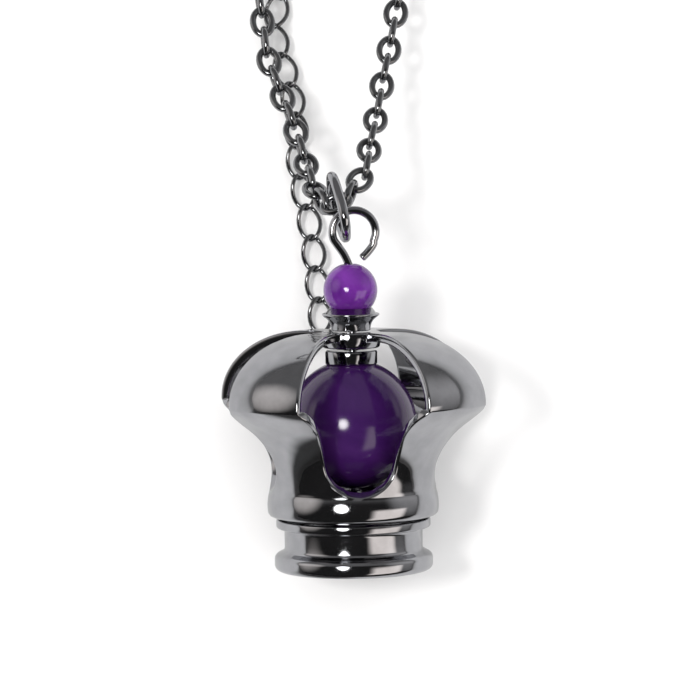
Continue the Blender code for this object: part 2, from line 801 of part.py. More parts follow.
def make_clasp(ring_centre, outward, material, parent):
    """A plain lobster clasp: a claw that tapers to its tip, with an eye on its tail."""
    tip_wire = 0.7 * CLASP_WIRE
    tail_wire = 1.5 * CLASP_WIRE
    inside_ring = END_RING / 2 - END_RING_WIRE
    tip = ring_centre + outward * (inside_ring - 2 * SEAT_GAP - tip_wire)
    slope = (CLASP_WIRE * 0.8 - tip.z) / (CLASP_LENGTH + CLASP_EYE)
    along = (outward + Vector((0.0, 0.0, slope))).normalized()
    across = across_of(along, 0.0)
    claw_centre = tip + along * CLASP_LENGTH / 2
    claw = make_ring("clasp", claw_centre, along, across, (CLASP_LENGTH, CLASP_WIDTH),
                     (tip_wire, tail_wire), RING_SIDES, 6, material, parent)
    eye_centre = tip + along * (CLASP_LENGTH + CLASP_EYE / 2 - CLASP_EYE_WIRE)
    eye = make_ring("clasp_eye", eye_centre, along, across, (CLASP_EYE, CLASP_EYE),
                    (CLASP_EYE_WIRE, CLASP_EYE_WIRE), RING_SIDES, WIRE_SIDES, material, parent)
    join_hidden(claw, eye, "join the eye")
    tail = eye_centre + along * (CLASP_EYE - CLASP_EYE_WIRE) / 2
    return tail, along


def make_clasp_ring(tail, along, material, parent):
    """The jump ring in the clasp's eye, standing on edge, which holds the chain's last link."""
    near = tail - along * ((CLASP_EYE_WIRE + CLASP_RING_WIRE) / 2 + LINK_GAP)
    heading = Vector((along.x, along.y, 0.0)).normalized()
    across = across_of(heading, CLASP_RING_ROLL)
    reach = (CLASP_RING - CLASP_RING_WIRE) / 2
    lift = (CLASP_RING * 0.48 - near.z) / across.z
    centre = near + heading * math.sqrt(reach**2 - lift**2) + across * lift
    wires = (CLASP_RING_WIRE, CLASP_RING_WIRE)
    make_ring("clasp_ring", centre, heading, across, (CLASP_RING, CLASP_RING), wires, RING_SIDES,
              WIRE_SIDES, material, parent)
    return centre + heading * (CLASP_RING / 2 + SEAT_GAP), heading


def make_neck_chain(right_stops, right_line, end, heading, material, parent):
    """The rest of the chain as one strand, from the last front link to the clasp ring."""
    direction = (right_stops[-1] - right_stops[-2]).normalized()
    start = right_stops[-1] + direction * (LINK_WIRE + SEAT_GAP)
    nearest = min(range(len(right_line)), key=lambda index: (right_line[index] - start).length)
    end = Vector((end.x, end.y, LINK_WIDTH / 2))
    ahead = right_line[nearest + LINE_STEPS // 2::LINE_STEPS // 2]
    points = [start] + ahead + [end + heading * NECK_END_LEAD, end]
    strand = walk(smooth_curve(points), 2.0 * LINK_WIDTH)
    if (strand[-1] - end).length < LINK_WIDTH:
        strand.pop()
    strand.append(end)
    wire_curve("neck_chain", strand, LINK_WIDTH, material, parent)


def make_extension(seat, ring_centre, outward, across, material, parent):
    """The thin chain from the end ring, which lies on the surface under the left strand."""
    reach = (END_RING - END_RING_WIRE) / 2
    around = across * math.sin(END_RING_HANG) - outward * math.cos(END_RING_HANG)
    on_ring = ring_centre + around * reach
    start = on_ring - around * (END_RING_WIRE / 2 + SEAT_GAP)
    low = EXTENSION_WIRE / 2 + 0.25 * EXTENSION_WIDTH
    line = route_line(start, EXTENSION_ROUTE, seat, low)
    stops = walk(line, EXTENSION_PITCH, EXTENSION_LINKS)
    rolls = [EXTENSION_ROLL * max(0.0, 1.0 - index / 4) for index in range(EXTENSION_LINKS)]
    links = links_between(stops, rolls)
    size = (EXTENSION_LENGTH, EXTENSION_WIDTH)
    fused_links("extension_chain", links, size, EXTENSION_WIRE, EXTENSION_SIDES, EXTENSION_TWIST,
                material, parent)


def centre_on_footprint(layout):
    """Moves the whole necklace so that the middle of its footprint is at the origin."""
    bpy.context.view_layer.update()
    shown = bpy.context.evaluated_depsgraph_get()
    corners = []
    for item in bpy.data.objects:
        if item.type == "EMPTY" or item.hide_render:
            continue
        evaluated = item.evaluated_get(shown)
        mesh = evaluated.to_mesh()
        corners += [evaluated.matrix_world @ vertex.co for vertex in mesh.vertices]
        evaluated.to_mesh_clear()
    lowest = [min(corner[axis] for corner in corners) for axis in range(3)]
    highest = [max(corner[axis] for corner in corners) for axis in range(3)]
    middle_x = (lowest[0] + highest[0]) / 2
    middle_y = (lowest[1] + highest[1]) / 2
    layout.location = (-middle_x, -middle_y, -lowest[2])


def build():
    clear_scene()
    layout = make_empty("layout")
    pendant = make_empty("pendant", layout)
    gunmetal = make_material("gunmetal", (0.13, 0.13, 0.14), 0.12, 1.0)
    chain_metal = make_material("chain_metal", (0.16, 0.16, 0.17), 0.25, 1.0)
    stone_purple = make_material("stone_purple", (0.10, 0.02, 0.22), 0.10, 0.0)
    bead_violet = make_material("bead_violet", (0.25, 0.04, 0.48), 0.08, 0.0)

    base = make_base(gunmetal, pendant)
    cage = make_cage(gunmetal, pendant)
    drilled_ball("stone", STONE_RADIUS, STONE_Z, SMALL_SIDES, 14, stone_purple, pendant)
    make_stone_cap(gunmetal, pendant)
    make_collar(gunmetal, pendant)
    drilled_ball("small_bead", BEAD_RADIUS, BEAD_Z, 18, 10, bead_violet, pendant)
    wire_curve("eye_pin", pin_line(), PIN_WIRE, gunmetal, pendant)

    lean, height = rest_on_surface(base, cage)
    place = lay_pendant(pendant, lean, height)
    seat, sideways = make_bail(place, gunmetal, layout)
    left_stops, right_stops, right_line = make_chain(seat, sideways, chain_metal, layout)
    ring_centre, outward, across = make_end_ring(left_stops, chain_metal, layout)
    tail, along = make_clasp(ring_centre, outward, chain_metal, layout)
    end, heading = make_clasp_ring(tail, along, chain_metal, layout)
    make_neck_chain(right_stops, right_line, end, heading, chain_metal, layout)
    make_extension(seat, ring_centre, outward, across, chain_metal, layout)
    centre_on_footprint(layout)


build()
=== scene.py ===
import json
import math

import bmesh
import bpy
from mathutils import Matrix, Vector


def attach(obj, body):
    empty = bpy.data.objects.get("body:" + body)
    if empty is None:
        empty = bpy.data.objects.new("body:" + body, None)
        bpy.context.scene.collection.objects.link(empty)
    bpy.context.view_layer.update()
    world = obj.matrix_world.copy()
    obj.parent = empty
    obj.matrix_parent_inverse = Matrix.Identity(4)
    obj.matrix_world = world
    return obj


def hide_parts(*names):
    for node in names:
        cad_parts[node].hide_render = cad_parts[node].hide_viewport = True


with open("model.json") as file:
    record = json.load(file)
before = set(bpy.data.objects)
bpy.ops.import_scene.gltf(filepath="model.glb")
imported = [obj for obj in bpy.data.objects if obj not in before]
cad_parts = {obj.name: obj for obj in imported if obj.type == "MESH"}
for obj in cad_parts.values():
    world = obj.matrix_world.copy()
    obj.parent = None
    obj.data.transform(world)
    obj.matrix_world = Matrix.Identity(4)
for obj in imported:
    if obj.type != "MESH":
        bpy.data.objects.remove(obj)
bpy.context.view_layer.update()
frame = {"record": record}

# Base plug
# Cast in zinc alloy, turned and plated in dark gunmetal: a foot with a rounded edge, a waist and
# a thin ring. Its spigot is pushed up into the throat of the cage.

foot_mount = frame["record"]["mounts"][0]
foot_centre = Vector(foot_mount["pos_m"])
lean = math.atan2(-foot_mount["axis"][2], -foot_mount["axis"][1])
pendant = Matrix.Translation(foot_centre) @ Matrix.Rotation(lean - math.pi / 2, 4, "X")

seat_gap = 0.0003
pin_wire = 0.0009
bore_radius = pin_wire / 2 + seat_gap
throat_radius = 0.0093
cage_wall = 0.00095
cage_bore = throat_radius - cage_wall
foot_radius = 0.00883
foot_height = 0.0020
foot_edge = 0.0007
waist_radius = 0.0077
waist_height = 0.0028
ring_radius = 0.0086
ring_height = 0.0010
ring_z = foot_height + waist_height
cage_z = ring_z + ring_height + seat_gap
spigot_height = 0.0027
spigot_top_z = cage_z + spigot_height
socket_depth = 0.0055
socket_z = spigot_top_z - socket_depth


def polished_metal(name, colour, roughness, ripple):
    """Plated metal: a mirror with a faint ripple left by hand polishing and fine dull specks."""
    material = bpy.data.materials.new(name)
    material.use_nodes = True
    nodes = material.node_tree.nodes
    links = material.node_tree.links
    shader = nodes["Principled BSDF"]
    shader.inputs["Metallic"].default_value = 1.0
    place = nodes.new("ShaderNodeTexCoord")
    cloud = nodes.new("ShaderNodeTexNoise")
    cloud.inputs["Scale"].default_value = 420.0
    cloud.inputs["Detail"].default_value = 3.0
    tint = nodes.new("ShaderNodeValToRGB")
    tint.color_ramp.elements[0].position = 0.3
    tint.color_ramp.elements[0].color = (*[part * 0.88 for part in colour], 1.0)
    tint.color_ramp.elements[1].position = 0.7
    tint.color_ramp.elements[1].color = (*[min(1.0, part * 1.08) for part in colour], 1.0)
    specks = nodes.new("ShaderNodeTexNoise")
    specks.inputs["Scale"].default_value = 5200.0
    specks.inputs["Detail"].default_value = 2.0
    dullness = nodes.new("ShaderNodeMapRange")
    dullness.inputs["From Min"].default_value = 0.35
    dullness.inputs["From Max"].default_value = 0.75
    dullness.inputs["To Min"].default_value = roughness
    dullness.inputs["To Max"].default_value = roughness * 1.9
    wave = nodes.new("ShaderNodeTexNoise")
    wave.inputs["Scale"].default_value = 330.0
    wave.inputs["Detail"].default_value = 1.5
    bump = nodes.new("ShaderNodeBump")
    bump.inputs["Strength"].default_value = ripple
    bump.inputs["Distance"].default_value = 0.0004
    for texture in (cloud, specks, wave):
        links.new(place.outputs["Object"], texture.inputs["Vector"])
    links.new(cloud.outputs["Fac"], tint.inputs["Fac"])
    links.new(tint.outputs["Color"], shader.inputs["Base Color"])
    links.new(specks.outputs["Fac"], dullness.inputs["Value"])
    links.new(dullness.outputs["Result"], shader.inputs["Roughness"])
    links.new(wave.outputs["Fac"], bump.inputs["Height"])
    links.new(bump.outputs["Normal"], shader.inputs["Normal"])
    return material


def finished(name, bm, material, place=None):
    """Turns a bmesh into a finished object at the origin, smooth and facing outwards."""
    bmesh.ops.recalc_face_normals(bm, faces=bm.faces)
    if place is not None:
        bm.transform(place)
    mesh = bpy.data.meshes.new(name)
    bm.to_mesh(mesh)
    bm.free()
    mesh.shade_smooth()
    mesh.materials.append(material)
    made = bpy.data.objects.new(name, mesh)
    bpy.context.scene.collection.objects.link(made)
    return made


def even_shading(piece):
    """Keeps flat faces flat beside their small rounded edges."""
    modifier = piece.modifiers.new("even shading", "WEIGHTED_NORMAL")
    modifier.weight = 60
    return piece


def settle(piece, node):
    """The finished piece stands in for its CAD node: it goes under the root body, and the node is
    hidden.
    """
    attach(piece, "root")
    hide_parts(node)


def arc(centre_r, centre_z, radius, start, end, steps):
    points = []
    for step in range(steps + 1):
        angle = math.radians(start + (end - start) * step / steps)
        points.append((centre_r + radius * math.cos(angle), centre_z + radius * math.sin(angle)))
    return points


def points_around(bm, radius, z, turns):
    """Points at one height and one distance from the pendant's axis."""
    return [bm.verts.new((radius * math.sin(t), -radius * math.cos(t), z)) for t in turns]


def turned(name, outline, material, sides=96, closed=True):
    """A turned piece: the outline (r, z) taken once around the pendant's axis."""
    bm = bmesh.new()
    rings = []
    for radius, z in outline:
        if radius < 1e-7:
            rings.append([bm.verts.new((0.0, 0.0, z))])
            continue
        turns = [math.tau * side / sides for side in range(sides)]
        rings.append(points_around(bm, radius, z, turns))
    pairs = list(zip(rings, rings[1:]))
    if closed:
        pairs.append((rings[-1], rings[0]))
    for lower, upper in pairs:
        for side in range(sides):
            beside = (side + 1) % sides
            if len(lower) == 1:
                bm.faces.new((lower[0], upper[side], upper[beside]))
            elif len(upper) == 1:
                bm.faces.new((lower[side], lower[beside], upper[0]))
            else:
                bm.faces.new((lower[side], lower[beside], upper[beside], upper[side]))
    return even_shading(finished(name, bm, material, pendant))


gunmetal = polished_metal("gunmetal", (0.405, 0.41, 0.43), 0.055, 0.05)

# Small fillets and eased edges of the turned outline, from the foot up to the spigot
foot_rim = foot_radius - foot_edge
foot_top = foot_height - foot_edge
foot_flat = 0.0006
waist_fillet = 0.0005
fillet_z = foot_height + 1.2 * waist_fillet
waist_run = 0.0012
ring_ease = 0.0004
ring_top = ring_z + ring_height
ring_edge = 0.00022
chamfer = 0.0002
spigot = cage_bore - seat_gap
base_outline = [(0.0, 0.0), (foot_rim - foot_flat, 0.0)]
base_outline += arc(foot_rim, foot_edge, foot_edge, -90, 0, 10)
base_outline += arc(foot_rim, foot_top, foot_edge, 4, 68, 8)
base_outline += arc(waist_radius + waist_fillet, fillet_z, waist_fillet, 235, 180, 5)
base_outline += [(waist_radius, foot_height + waist_run), (waist_radius, ring_z - ring_ease)]
base_outline += [(waist_radius + 0.3 * chamfer, ring_z - 0.7 * chamfer)]
base_outline += [(waist_radius + chamfer, ring_z)]
base_outline += arc(ring_radius - ring_edge, ring_z + ring_edge, ring_edge, -90, 0, 5)
base_outline += arc(ring_radius - ring_edge, ring_top - ring_edge, ring_edge, 0, 90, 5)
base_outline += [(spigot + chamfer, ring_top), (spigot, ring_top + chamfer)]
base_outline += arc(spigot - ring_edge, spigot_top_z - ring_edge, ring_edge, 0, 90, 4)
base_outline += [(bore_radius + chamfer, spigot_top_z), (bore_radius, spigot_top_z - chamfer)]
base_outline += [(bore_radius, socket_z), (0.0, socket_z)]
base_piece = turned("turned_base", base_outline, gunmetal, sides=112, closed=False)
settle(base_piece, "base")


# Cage
# Cast in one piece with an even wall and plated like the base: a band, a flare, four petals that
# turn over at a crisp lip and a hub that joins them. The windows' rims are slightly rounded.

band_height = 0.0032
band_bulge = 0.00025
flare_height = 0.0094
lip_radius = 0.01585
throat_z = cage_z + band_height
lip_z = throat_z + flare_height
lip_edge = 0.0003
dome_z = lip_z + lip_edge
dome_height = 0.0076
crest_radius = 0.0056
crest_z = dome_z + dome_height
hub_radius = 0.0033
hub_thickness = 0.0018
hub_top_z = crest_z
hub_under_z = hub_top_z - hub_thickness
window_angle = math.radians(26.5)
window_round = 0.0034
sill_height = 0.00285
sill_z = cage_z + sill_height
sill_slope = 0.0006
collar_radius = 0.0022
rim_rounding = 0.00022
crisp_turn = math.radians(48.0)
flare_rows = 22
petal_cells = 30
window_cells = 12

# Flare of the cage from throat to lip: (share of the height, share of the widening)
flare = (
    (0.00, 0.000),
    (0.18, 0.035),
    (0.36, 0.110),
    (0.53, 0.250),
    (0.69, 0.450),
    (0.83, 0.710),
    (0.94, 0.920),
    (1.00, 1.000),
)

# Windows from sill to lip: (share of the height, share of the window's angle)
window_taper = (
    (0.00, 0.900),
    (0.45, 0.880),
    (0.60, 0.860),
    (0.72, 0.835),
    (0.82, 0.840),
    (0.90, 0.885),
    (0.95, 0.940),
    (1.00, 1.000),
)


def table_value(table, share):
    """A value on a smooth curve through the rows of a table."""
    shares = [row[0] for row in table]
    values = [row[1] for row in table]
    last = len(table) - 1
    index = max(0, min(last - 1, sum(1 for item in shares if item <= share) - 1))
    span = shares[index + 1] - shares[index]
    t = (share - shares[index]) / span
    before = max(0, index - 1)
    after = min(last, index + 2)
    slope_in = (values[index + 1] - values[before]) / (shares[index + 1] - shares[before]) * span
    slope_out = (values[after] - values[index]) / (shares[after] - shares[index]) * span
    return (
        (2 * t**3 - 3 * t**2 + 1) * values[index]
        + (t**3 - 2 * t**2 + t) * slope_in
        + (3 * t**2 - 2 * t**3) * values[index + 1]
        + (t**3 - t**2) * slope_out
    )


def flare_radius(z):
    share = min(1.0, max(0.0, (z - throat_z) / flare_height))
    return throat_radius + (lip_radius - throat_radius) * table_value(flare, share)


def dome_point(angle, wall):
    angle = math.radians(angle)
    radius = crest_radius + (lip_radius - crest_radius - wall) * math.cos(angle)
    return radius, dome_z + (dome_height - wall) * math.sin(angle)


def window_half_angle(z):
    above = max(0.0, z - sill_z)
    angle = window_angle * table_value(window_taper, min(1.0, above / (lip_z - sill_z)))
    share = min(1.0, above / window_round)
    return math.asin(math.sin(angle) * math.sqrt(1.0 - (1.0 - share) ** 2))


def petal_rows():
    """Outer (r, z), inner (r, z) and the window's half angle, from the sill to the hub."""
    heights = [sill_z + window_round * (1 - math.cos(math.radians(a))) for a in range(0, 90, 5)]
    above = sill_z + window_round
    below_lip = lip_z - 0.0002
    heights += [above + (below_lip - above) * row / flare_rows for row in range(flare_rows)]
    rows = []
    near = 0.0001
    for z in heights:
        radius = flare_radius(z)
        slope = (flare_radius(z + near) - flare_radius(z - near)) / (2 * near)
        unit = math.hypot(1.0, slope)
        lifted = sill_slope * max(0.0, 1.0 - (z - sill_z) / window_round)
        inner = (radius - cage_wall / unit, z + cage_wall * slope / unit + lifted)
        rows.append(((radius, z), inner, window_half_angle(z)))
    rim = 0.00016
    for share in (0.0, 0.25, 0.5, 0.75, 1.0):
        under = (1.0 - share) ** 2
        outer = (lip_radius - 0.68 * rim * under, lip_z - 0.73 * rim * under + rim * share**2)
        inner = (lip_radius - cage_wall - 0.00004 * (1.0 - share), dome_z + 0.00002 * share)
        rows.append((outer, inner, window_angle))
    for angle in [1.2, 3] + list(range(6, 91, 3)):
        rows.append((dome_point(angle, 0.0), dome_point(angle, cage_wall), window_angle))
    for share in (0.2, 0.4, 0.6, 0.8, 1.0):
        radius = crest_radius + (hub_radius - crest_radius) * share
        rows.append(((radius, crest_z), (radius, crest_z - cage_wall), window_angle))
    return rows


def cage_ring(bm, radius, z, half_angle, cells):
    """Points around the cage: one list for each petal and one for each window after it."""
    petals = []
    windows = []
    for quarter in range(4):
        start = quarter * math.pi / 2 + half_angle
        span = math.pi / 2 - 2 * half_angle
        turns = [start + span * cell / petal_cells for cell in range(petal_cells + 1)]
        petals.append(points_around(bm, radius, z, turns))
        turns = [start + span + 2 * half_angle * cell / cells for cell in range(1, cells)]
        windows.append(points_around(bm, radius, z, turns))
    if half_angle == 0.0:
        for quarter in range(4):
            bm.verts.remove(petals[quarter][-1])
            petals[quarter][-1] = petals[(quarter + 1) % 4][0]
    return petals, windows


def whole_ring(ring):
    points = []
    for petal, window in zip(*ring):
        points += petal + window
    return [point for index, point in enumerate(points) if point is not points[index - 1]]


def make_cage():
    bm = bmesh.new()
    rows = petal_rows()
    outer = []
    inner = []
    for row, (outside, inside, half_angle) in enumerate(rows):
        cells = window_cells if row == len(rows) - 1 else 1
        outer.append(cage_ring(bm, *outside, half_angle, cells))
        inner.append(cage_ring(bm, *inside, half_angle, cells))
    for skin in (outer, inner):
        for (lower, _), (upper, _) in zip(skin, skin[1:]):
            for low, high in zip(lower, upper):
                for cell in range(petal_cells):
                    bm.faces.new((low[cell], low[cell + 1], high[cell + 1], high[cell]))
    for row in range(len(rows) - 1):
        for quarter in range(4):
            for cell in (0, petal_cells):
                corners = (outer[row][0][quarter][cell], outer[row + 1][0][quarter][cell],
                           inner[row + 1][0][quarter][cell], inner[row][0][quarter][cell])
                bm.faces.new(corners)
    top_ring = outer[-1]
    under_ring = inner[-1]
    for quarter in range(4):
        beside = (quarter + 1) % 4
        top = [top_ring[0][quarter][-1]] + top_ring[1][quarter] + [top_ring[0][beside][0]]
        under = [under_ring[0][quarter][-1]] + under_ring[1][quarter] + [under_ring[0][beside][0]]
        for cell in range(window_cells):
            bm.faces.new((top[cell], top[cell + 1], under[cell + 1], under[cell]))
    hub_rings = [whole_ring(top_ring)]
    hub_chamfer = 0.00025
    hub_outline = [(collar_radius + seat_gap, hub_top_z), (bore_radius, hub_top_z)]
    hub_outline += [(bore_radius, hub_under_z), (hub_radius - hub_chamfer, hub_under_z)]
    hub_outline += [(hub_radius - 0.4 * hub_chamfer, hub_under_z + 0.6 * hub_chamfer)]
    for radius, z in hub_outline:
        hub_rings.append(whole_ring(cage_ring(bm, radius, z, window_angle, window_cells)))
    hub_rings.append(whole_ring(under_ring))
    band_rings = [whole_ring(inner[0])]
    bore_chamfer = 0.0001
    band_edge = 0.0004
    band_outline = [(cage_bore, sill_z - 0.0006), (cage_bore, cage_z + bore_chamfer)]
    band_outline += [(cage_bore + bore_chamfer, cage_z), (throat_radius - 1.5 * band_edge, cage_z)]
    for share in (0.0, 0.04, 0.12, 0.22, 0.34, 0.46, 0.58, 0.70, 0.80):
        swell = math.sin(math.pi * min(1.0, 0.12 + share)) ** 0.8
        start = throat_radius - band_edge * (1.0 - min(1.0, share / 0.1)) ** 2
        band_outline.append((start + band_bulge * swell, cage_z + 0.00002 + share * band_height))
    for radius, z in band_outline:
        band_rings.append(whole_ring(cage_ring(bm, radius, z, 0.0, 1)))
    band_rings.append(whole_ring(outer[0]))
    for rings in (hub_rings, band_rings):
        for lower, upper in zip(rings, rings[1:]):
            for index in range(len(lower)):
                beside = (index + 1) % len(lower)
                bm.faces.new((lower[index], lower[beside], upper[beside], upper[index]))
    bmesh.ops.recalc_face_normals(bm, faces=bm.faces)
    rounding = bm.edges.layers.float.new("bevel_weight_edge")
    crisp = {edge for edge in bm.edges if edge.calc_face_angle(0.0) > crisp_turn}
    for edge in crisp:
        beside = [other for vertex in edge.verts for other in vertex.link_edges]
        room = min([other.calc_length() for other in beside if other not in crisp] or [0.0])
        edge[rounding] = min(1.0, 0.8 * room / rim_rounding)
    cage = finished("petal_cage", bm, gunmetal, pendant)
    bevel = cage.modifiers.new("rounded rims", "BEVEL")
    bevel.offset_type = "ABSOLUTE"
    bevel.width = rim_rounding
    bevel.segments = 3
    bevel.limit_method = "WEIGHT"
    bevel.use_clamp_overlap = False
    even_shading(cage)
    return cage


settle(make_cage(), "cage")


# Stone and stone cap
# The stone is a drilled, polished ball of deep purple mineral with faint clouds. A plain plated
# washer, hollow below, sits on its top around the pin.

stone_radius = 0.0072
stone_z = spigot_top_z + seat_gap + stone_radius
cap_radius = 0.0029
cap_top_z = hub_under_z - seat_gap
cap_clearance = 0.0001
cap_rounding = 0.00025


def polished_stone(name, dark, light, cloud_scale, roughness, glow):
    """A polished ball: faint clouds under a clear, even gloss."""
    material = bpy.data.materials.new(name)
    material.use_nodes = True
    nodes = material.node_tree.nodes
    links = material.node_tree.links
    shader = nodes["Principled BSDF"]
    shader.inputs["Roughness"].default_value = roughness
    shader.inputs["IOR"].default_value = 1.55
    shader.inputs["Transmission Weight"].default_value = glow
    shader.inputs["Coat Weight"].default_value = 0.25
    shader.inputs["Coat Roughness"].default_value = 0.06
    place = nodes.new("ShaderNodeTexCoord")
    cloud = nodes.new("ShaderNodeTexNoise")
    cloud.inputs["Scale"].default_value = cloud_scale
    cloud.inputs["Detail"].default_value = 4.0
    cloud.inputs["Distortion"].default_value = 0.8
    tint = nodes.new("ShaderNodeValToRGB")
    tint.color_ramp.elements[0].position = 0.32
    tint.color_ramp.elements[0].color = (*dark, 1.0)
    tint.color_ramp.elements[1].position = 0.72
    tint.color_ramp.elements[1].color = (*light, 1.0)
    links.new(place.outputs["Object"], cloud.inputs["Vector"])
    links.new(cloud.outputs["Fac"], tint.inputs["Fac"])
    links.new(tint.outputs["Color"], shader.inputs["Base Color"])
    return material


def drilled_ball(name, radius, z, material):
    """A ball with a drilled hole whose edges are eased."""
    tip = math.degrees(math.acos((bore_radius + 0.0001) / radius))
    outline = arc(0.0, z, radius, -tip, tip, 56)
    reach = radius * math.sin(math.radians(tip)) - 0.00012
    outline += [(bore_radius, z + reach), (bore_radius, z - reach)]
    return turned(name, outline, material, sides=96)


deep_purple = (0.030, 0.0055, 0.068)
cloud_purple = (0.050, 0.011, 0.100)
purple = polished_stone("purple_stone", deep_purple, cloud_purple, 160.0, 0.15, 0.0)
settle(drilled_ball("round_stone", stone_radius, stone_z, purple), "stone")

hollow = stone_radius + cap_clearance
cap_edge = math.degrees(math.acos(cap_radius / hollow))
cap_middle = math.degrees(math.acos(bore_radius / hollow))
cap_outline = arc(0.0, stone_z, hollow, cap_middle, cap_edge + 2.0, 8)
cap_low_z = stone_z + hollow * math.sin(math.radians(cap_edge))
cap_outline += [(cap_radius - 0.00006, cap_low_z), (cap_radius, cap_low_z + 0.00008)]
cap_outline += arc(cap_radius - cap_rounding, cap_top_z - cap_rounding, cap_rounding, 0, 90, 5)
cap_outline += [(bore_radius + 0.0001, cap_top_z), (bore_radius, cap_top_z - 0.0001)]
settle(turned("stone_washer", cap_outline, gunmetal), "stone_cap")


# Collar
# A small plated cup that flares to a thin rim. It stands on the hub of the cage, and the small
# bead sits in its dish.

collar_rim_radius = 0.0032
collar_height = 0.0017
collar_dish = 0.0007
collar_bowl_radius = 0.0024
collar_foot = 0.0002
collar_z = hub_top_z + seat_gap
bead_radius = 0.0030
dish_z = collar_z + collar_height - collar_dish
bead_z = dish_z + seat_gap + bead_radius

# Collar outline from foot to rim: (share of the height, share of the widening)
collar_flare = (
    (0.00, 0.00),
    (0.25, 0.04),
    (0.46, 0.17),
    (0.66, 0.45),
    (0.83, 0.85),
    (0.92, 1.00),
    (1.00, 0.97),
)

collar_outline = [(bore_radius, collar_z - collar_foot)]
collar_outline += [(collar_radius - 0.5 * collar_foot, collar_z - collar_foot)]
for step in range(25):
    share = step / 24
    radius = collar_radius + (collar_rim_radius - collar_radius) * table_value(collar_flare, share)
    collar_outline.append((radius, collar_z - 0.00015 + (collar_height + 0.00015) * share))
collar_outline += [(collar_rim_radius * 0.94, collar_z + collar_height + 0.00004)]
collar_outline += [(collar_rim_radius * 0.90, collar_z + collar_height - 0.00002)]
for step in range(8):
    radius = collar_bowl_radius * (1 - step / 8) + bore_radius * step / 8
    bowl = bead_z - math.sqrt((bead_radius + 0.00012) ** 2 - radius**2)
    collar_outline.append((radius, max(bowl, dish_z)))
collar_outline.append((bore_radius, dish_z))
settle(turned("flared_collar", collar_outline, gunmetal), "collar")


# Small bead
# A stock 6 mm round bead in clear violet with faint milky clouds, drilled for the pin and
# polished to a bright gloss.

deep_violet = (0.085, 0.010, 0.18)
milky_violet = (0.21, 0.035, 0.38)
violet = polished_stone("violet_bead", deep_violet, milky_violet, 210.0, 0.10, 0.30)
settle(drilled_ball("violet_bead", bead_radius, bead_z, violet), "small_bead")


# Eye pin
# Round drawn wire, plated, that runs down through bead, collar, hub, cap and stone into the
# base. Above the bead it is bent by hand into an open loop with a cut end.

loop_radius = 0.00241
loop_offset = 0.00049
loop_z = bead_z + bead_radius + 0.00343
loop_lead = ((-0.274, -1.469), (-0.488, -1.008), (-0.813, -0.539))
loop_tail = ((0.892, -0.564), (0.635, -0.929), (0.330, -1.224))


def smooth_curve(points, steps=12):
    """A dense line on a centripetal Catmull-Rom curve through the points."""
    points = [Vector(point) for point in points]
    ends = [2 * points[0] - points[1]] + points + [2 * points[-1] - points[-2]]
    line = []
    for index in range(1, len(ends) - 2):
        p0, p1, p2, p3 = ends[index - 1:index + 3]
        t1 = (p1 - p0).length ** 0.5
        t2 = t1 + (p2 - p1).length ** 0.5
        t3 = t2 + (p3 - p2).length ** 0.5
        for step in range(steps):
            t = t1 + (t2 - t1) * step / steps
            a1 = p0 * (t1 - t) / t1 + p1 * t / t1
            a2 = p1 * (t2 - t) / (t2 - t1) + p2 * (t - t1) / (t2 - t1)
            a3 = p2 * (t3 - t) / (t3 - t2) + p3 * (t - t2) / (t3 - t2)
            b1 = a1 * (t2 - t) / t2 + a2 * t / t2
            b2 = a2 * (t3 - t) / (t3 - t1) + a3 * (t - t1) / (t3 - t1)
            line.append(b1 * (t2 - t) / (t2 - t1) + b2 * (t - t1) / (t2 - t1))
    line.append(points[-1])
    return line


def add_wire(bm, line, radii, sides=16, closed=False):
    """Round wire along a line, carried round the bends without twisting."""
    count = len(line)
    if not hasattr(radii, "__len__"):
        radii = [radii] * count
    tangents = []
    for index in range(count):
        if closed:
            tangents.append((line[(index + 1) % count] - line[index - 1]).normalized())
        else:
            ahead = line[min(index + 1, count - 1)]
            behind = line[max(index - 1, 0)]
            tangents.append((ahead - behind).normalized())
    side_way = tangents[0].orthogonal().normalized()
    rings = []
    for index, (place, tangent, radius) in enumerate(zip(line, tangents, radii)):
        if index:
            side_way = tangents[index - 1].rotation_difference(tangent) @ side_way
        side_way = (side_way - tangent * side_way.dot(tangent)).normalized()
        other_way = tangent.cross(side_way)
        ring = []
        for side in range(sides):
            turn = math.tau * side / sides
            offset = side_way * math.cos(turn) + other_way * math.sin(turn)
            ring.append(bm.verts.new(place + offset * radius))
        rings.append(ring)
    shift = 0
    if closed:
        gaps = [(rings[-1][0].co - vertex.co).length for vertex in rings[0]]
        shift = gaps.index(min(gaps))
        rings.append(rings[0][shift:] + rings[0][:shift])
    for ring, ahead in zip(rings, rings[1:]):
        for side in range(sides):
            beside = (side + 1) % sides
            bm.faces.new((ring[side], ring[beside], ahead[beside], ahead[side]))
    if not closed:
        bm.faces.new(rings[0][::-1])
        bm.faces.new(rings[-1])


def eased_ends(line, radius, ease):
    """Radii along a wire whose cut ends are slightly rounded off."""
    length = [0.0]
    for before, after in zip(line, line[1:]):
        length.append(length[-1] + (after - before).length)
    radii = []
    for run in length:
        near = min(run, length[-1] - run)
        dip = max(0.0, 1.0 - near / ease)
        radii.append(radius * (1.0 - 0.30 * dip**2))
    return radii


